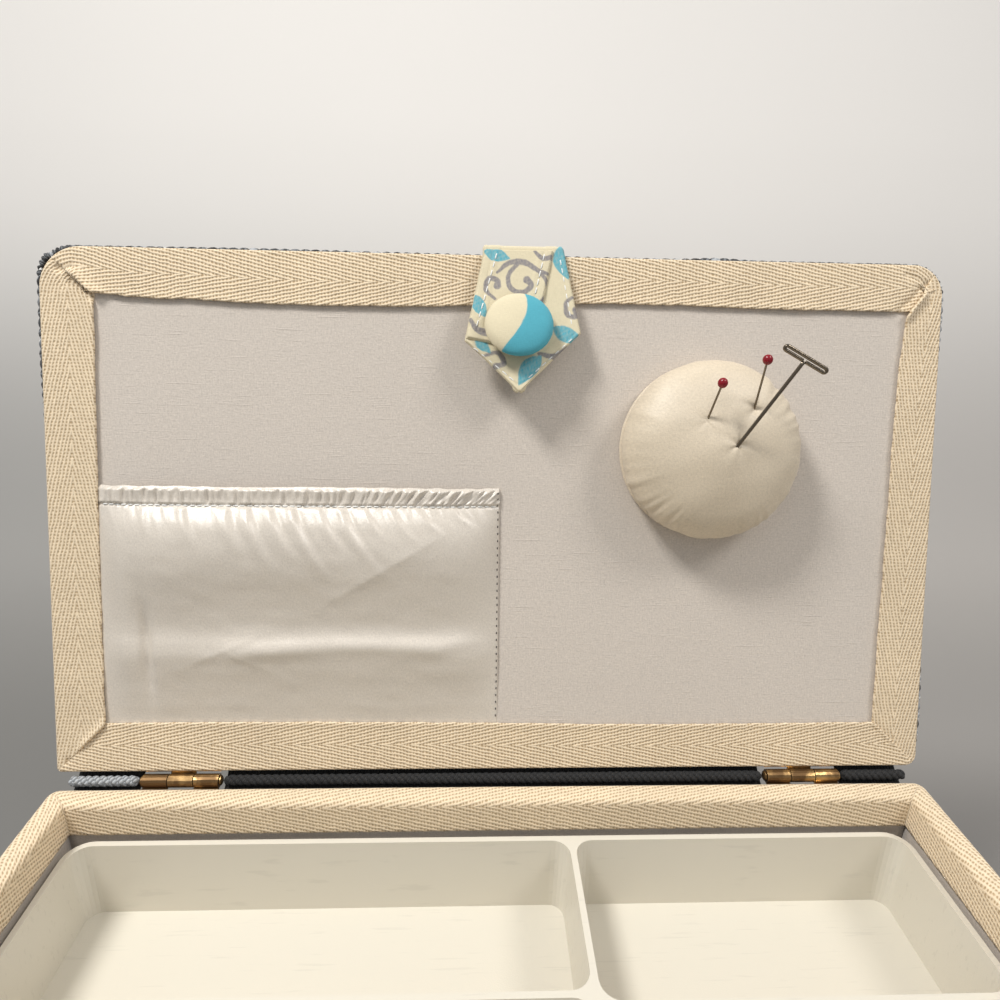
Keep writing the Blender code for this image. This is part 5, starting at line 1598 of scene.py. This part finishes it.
def make_button():
    """The covered button: a low dome turned from its middle out, over its edge and in below."""
    turn = np.linspace(0, math.tau, 240, endpoint=False)[None, :]
    angle = np.linspace(0, math.pi * 0.80, 84)[:, None]
    top = np.minimum(angle, math.pi / 2)
    below = angle - math.pi / 2
    reach = np.where(below > 0, 1 - 0.16 * below, np.sin(top) ** 0.92) * BUTTON_RADIUS
    under = 0.24 * (1 - below / (0.30 * math.pi))
    rise = np.where(below > 0, under, 0.24 + 0.76 * np.cos(top) ** 0.95)
    gather = 0.10 * MM * soft_noise(np.cos(turn) * 12, np.sin(turn) * 12, 3.0, 111, 2)
    reach = reach + gather * smooth_step(angle, 1.2, 1.7)
    x, y = reach * np.cos(turn), reach * np.sin(turn)
    wide, down = x / MM, y / MM
    dent = 0.12 * MM * soft_noise(wide, down, 14.0, 112, 2) * smooth_step(-angle, -1.3, -0.9)
    up = rise * BUTTON_RISE - dent
    lean = math.radians(8.0)
    points = tab_points(
        x - 1.6 * MM,
        BUTTON_DOWN + y * math.cos(lean) - up * math.sin(lean),
        BUTTON_SEAT + up * math.cos(lean) + y * math.sin(lean),
    )
    edge = wide - 1.3 + 0.40 * down + 0.034 * down**2 + 0.10 * soft_noise(wide, down, 6.0, 113, 2)
    field = smooth_step(edge, -0.2, 0.2)[..., None]
    colours = CREAM_GROUND * (1 - field) + TURQUOISE_INK * field
    obj = turned_object("covered_button_dome", points, stacked(x, y), colours)
    dress(obj, PRINT, "closure_tab", ("covered_button",))


def stitch_row(name, starts, ends, lift, radius, material, body):
    """A row of stitches as one mesh: each is a bent thread that dives into the cloth at both ends.

    Along a stitch its middle rises along lift as a power of a parabola and its radius stays even.
    Its section is a ring of six points.
    """
    share = np.linspace(0, 1, 7)[None, :, None]
    arch = (np.clip(1 - (2 * share - 1) ** 2, 0, 1) ** 0.45 * 1.5 - 0.9) * radius
    middle = starts[:, None] * (1 - share) + ends[:, None] * share + lift * arch
    way = ends - starts
    way /= np.linalg.norm(way, axis=1)[:, None]
    side = np.cross(way, lift)[:, None, None]
    turn = np.linspace(0, math.tau, 6, endpoint=False)[:, None]
    ring = side * np.cos(turn) + lift * np.sin(turn)
    points = middle[:, :, None] + ring * radius
    first_corners = np.arange(len(starts))[:, None, None] * 7 * 6
    faces = (grid_faces(7, 6, wrap=True) + first_corners).reshape(-1, 4)
    obj = clean_mesh(mesh_object(name, points, faces), merge=False, fill=True)
    return dress(obj, material, body)


def dashes(path, stitch, gap):
    """The starts and the ends of stitches along a path."""
    run = run_along(path)
    first = np.arange(gap, run[-1] - stitch, stitch + gap)
    return [along_path(path, run, places) for places in (first, first + stitch)]


# Rows of topstitching: across at both ends, down at both ends and height over the tab's face, in
# millimetres
TAB_ROWS = (
    (-8.6, -15.9, 1.5, 30.0, 1.50),
    (7.2, 3.6, 1.5, 17.5, 1.50),
    (12.3, 16.4, 2.5, 28.0, 0.16),
    (-16.8, -2.6, 34.0, 45.8, 0.16),
    (16.9, 0.2, 30.2, 45.8, 0.16),
)


def make_tab_stitches():
    """White topstitching: two rows on the upper layer and three inside the lower one's hems."""
    out = OUT_OF_LID * math.cos(TAB_SLOPE) + UP_LID * math.sin(TAB_SLOPE)
    share = np.linspace(0, 1, 30)
    rows = []
    for x0, x1, y0, y1, w in TAB_ROWS:
        path = tab_points((x0 + (x1 - x0) * share) * MM, (y0 + (y1 - y0) * share) * MM, w * MM)
        rows.append(dashes(path, 2.3 * MM, 0.7 * MM))
    starts, ends = (np.concatenate(part) for part in zip(*rows))
    blend_tab(stitch_row("tab_topstitching", starts, ends, out, 0.22 * MM, WHITE_THREAD, None))


def wrap_finish():
    """Waxed dark cord wound round the grip: each turn's plies slant, and its flanks are darker."""
    material = new_finish("wound_cord", (0.05, 0.045, 0.04), 0.5, Coat_Weight=0.05)
    turns, along = cloth_place(material)
    side = turns - turns.nearest()
    ply = ((along / 0.0019 + side * 1.1) * math.tau).sin()
    tone = chance(turns.nearest(), 5.0)
    fibres = noise((turns * 9.0, along * 2500.0, 0.0), 1.0, 3.0)
    # Painted shade: the cord is darker in the grooves between its plies
    colour = shade((0.060, 0.052, 0.046), ply.ramp(-1.0, 1.0), 0.45, 1.25)
    colour = shade(colour, tone, 0.8, 1.25)
    feed("Base Color", shade(colour, fibres, 0.75, 1.3))
    raise_surface(ply * 0.5 + fibres * 0.5, 0.00025, 0.8)
    return material


# The grip ends' profile from inside outwards: distance along from the middle and radius, in
# millimetres
GRIP_END_PROFILE = (
    (150.6, 0.2), (150.6, 5.75), (152.2, 6.05), (153.0, 6.05), (154.8, 5.8), (155.0, 5.2),
    (155.0, 2.6), (158.7, 2.6), (158.7, 4.4), (158.9, 4.8), (159.6, 4.7), (160.1, 3.8),
    (160.2, 2.0), (160.2, 0.0),
)
GRIP_HALF = 154.2 * MM
GRIP_PITCH = 2.9 * MM
GRIP_CORE = 4.55 * MM
GRIP_SWELL = 2.2 * MM
GRIP_CORD = 1.0 * MM


def make_grip():
    """The handle's grip: cord wound on a tapered core, and a turned brass end each side.

    The radius is the core's, plus a half circle for each turn of the cord. A turn's place is the
    distance along in pitches less the share of a turn round.
    """
    wound = wrap_finish()
    low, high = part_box("handle_grip")
    middle_y, middle_z = (low[1] + high[1]) / 2, (low[2] + high[2]) / 2
    x = np.linspace(-GRIP_HALF, GRIP_HALF, int(2 * GRIP_HALF / GRIP_PITCH) * 6)[:, None]
    turn = np.linspace(0, math.tau, 28)[None, :]
    place = x / GRIP_PITCH - turn / math.tau
    off = (place - np.round(place)) * 2
    core = GRIP_CORE + GRIP_SWELL * smooth_step(-np.abs(x), -154 * MM, -122 * MM)
    radius = core + GRIP_CORD * np.sqrt(np.clip(1 - off**2, 0, 1))
    points = stacked(x, middle_y + radius * np.cos(turn), middle_z + radius * np.sin(turn))
    obj = grid_object("wound_grip", points, stacked(place, turn * 6.5 * MM))
    clean_mesh(obj, fill=True)
    dress(obj, wound, "handle", ("handle_grip",))
    along, reach = np.array(GRIP_END_PROFILE).T[..., None] * MM
    turn = np.linspace(0, math.tau, 48, endpoint=False)
    for side, sign in (("left", -1), ("right", 1)):
        points = stacked(
            sign * along, middle_y + reach * np.cos(turn), middle_z + reach * np.sin(turn)
        )
        end = turned_object(f"{side}_grip_end", points)
        edge = end.modifiers.new("edge", "BEVEL")
        edge.width = 0.15 * MM
        edge.segments = 2
        dress(end, BRASS, "handle", ("handle_grip",))


PAPER_BEND = 0.45
PAPER_BACK = 0.95
PAPER_DROP = 0.0005
LAMP_DISTANCE = 1.15
# Each lamp: name, way from the lid's middle across, up and out of the lid, size, power and colour
LAMPS = (
    ("left_ceiling", (-0.47, 0.77, 0.44), 0.24, 11.5, (1.0, 0.985, 0.955)),
    ("right_ceiling", (0.62, 0.66, 0.52), 0.30, 4.6, (1.0, 0.97, 0.93)),
)


def make_stage():
    """A pale floor that curves up into a backdrop, two soft lamps and an even world.

    The paper's colour is painted shade: darker on the floor, on the left and near by, as in the
    photograph. Its upper part glows a little, a painted light, where a camera or a glossy surface
    sees it.
    """
    turn = np.linspace(0, math.pi / 2, 24)
    bend_y = PAPER_BACK - PAPER_BEND + PAPER_BEND * np.sin(turn)
    bend_z = PAPER_BEND - PAPER_BEND * np.cos(turn)
    y = np.concatenate(((-2.6, -1.2, 0.0), bend_y, (PAPER_BACK,)))[:, None]
    z = np.concatenate((np.zeros(3), bend_z, (2.4,)))[:, None] - PAPER_DROP
    floor = grid_object("pale_floor", stacked(np.linspace(-2.8, 2.8, 9), y, z))
    glow = (1.0, 0.975, 0.95, 1.0)
    material = new_finish("pale_paper", (0.5, 0.5, 0.5), 0.95, Emission_Color=glow)
    place = object_place(material)
    mottle = noise(place, 3.0, 2.0)
    # Painted shade: the paper darkens to the left, towards the camera and on the floor below the
    # wall
    height = place[2].ramp(0.0, 0.50)
    side = place[0].ramp(-0.30, 0.35)
    near = blend_colours(side, (0.21, 0.205, 0.195), (0.315, 0.30, 0.285))
    far = blend_colours(side, (0.35, 0.34, 0.325), (0.48, 0.455, 0.43))
    paper = blend_colours(place[1].ramp(0.30, 0.62), near, far)
    paper = blend_colours(height, paper, (0.80, 0.77, 0.73))
    feed("Base Color", shade(paper, mottle, 0.98, 1.02))
    path = material.node_tree.nodes.new("ShaderNodeLightPath").outputs
    rays = [Term(material.node_tree, path[f"Is {kind} Ray"]) for kind in ("Camera", "Glossy")]
    # Painted light: the paper's upper part glows for camera and glossy rays
    feed("Emission Strength", rays[0].math("MAXIMUM", rays[1]) * height * 0.17)
    floor.data.materials.append(material)

    world = bpy.data.worlds.new("even_light")
    world.use_nodes = True
    background = world.node_tree.nodes["Background"]
    background.inputs["Color"].default_value = (0.96, 0.98, 1.0, 1.0)
    background.inputs["Strength"].default_value = 0.47
    bpy.context.scene.world = world
    for name, way, size, power, colour in LAMPS:
        way = np.array(way) / np.linalg.norm(way)
        place = lid_points(*(way * LAMP_DISTANCE))
        lamp = bpy.data.lights.new(name, "AREA")
        lamp.size = size
        lamp.energy = power
        lamp.color = colour
        obj = bpy.data.objects.new(name, lamp)
        bpy.context.scene.collection.objects.link(obj)
        obj.location = place
        aim = Vector(LID_MIDDLE - place)
        obj.rotation_euler = aim.to_track_quat("-Z", "Y").to_euler()


def make_camera():
    """The photograph's view, solved from the corners of the lid's tape.

    The camera's axes are given in the lid's own directions, and its place as across, up and out.
    """
    axes = np.array(
        ((0.9991, 0.0113, 0.0411), (-0.0082, 0.9971, -0.0758), (-0.0419, 0.0754, 0.9963))
    )
    turn = axes @ np.stack((ACROSS_LID, UP_LID, OUT_OF_LID))
    place = lid_points(-10.2 * MM, 24.9 * MM, 240.7 * MM)
    data = bpy.data.cameras.new("photo_view")
    data.lens = 25.2
    data.sensor_width = 36.0
    data.clip_start = 0.01
    camera = bpy.data.objects.new("photo_view", data)
    bpy.context.scene.collection.objects.link(camera)
    camera.matrix_world = Matrix(np.vstack((np.column_stack((turn.T, place)), (0, 0, 0, 1))))
    bpy.context.scene.camera = camera


make_camera()
make_stage()
paint_nodes()
make_lid_lining()
make_lid_tapes()
make_pocket()
make_cushion_board()
make_pincushion()
make_ball_pins()
make_t_pin()
make_tab_under()
make_tab_top()
make_button()
make_tab_stitches()
make_body_skin()
make_lid_skin()
make_rim_tape()
make_hinge_cord()
make_hinge_gusset()
make_body_linings()
make_grip()

bpy.context.scene.view_settings.view_transform = "Standard"
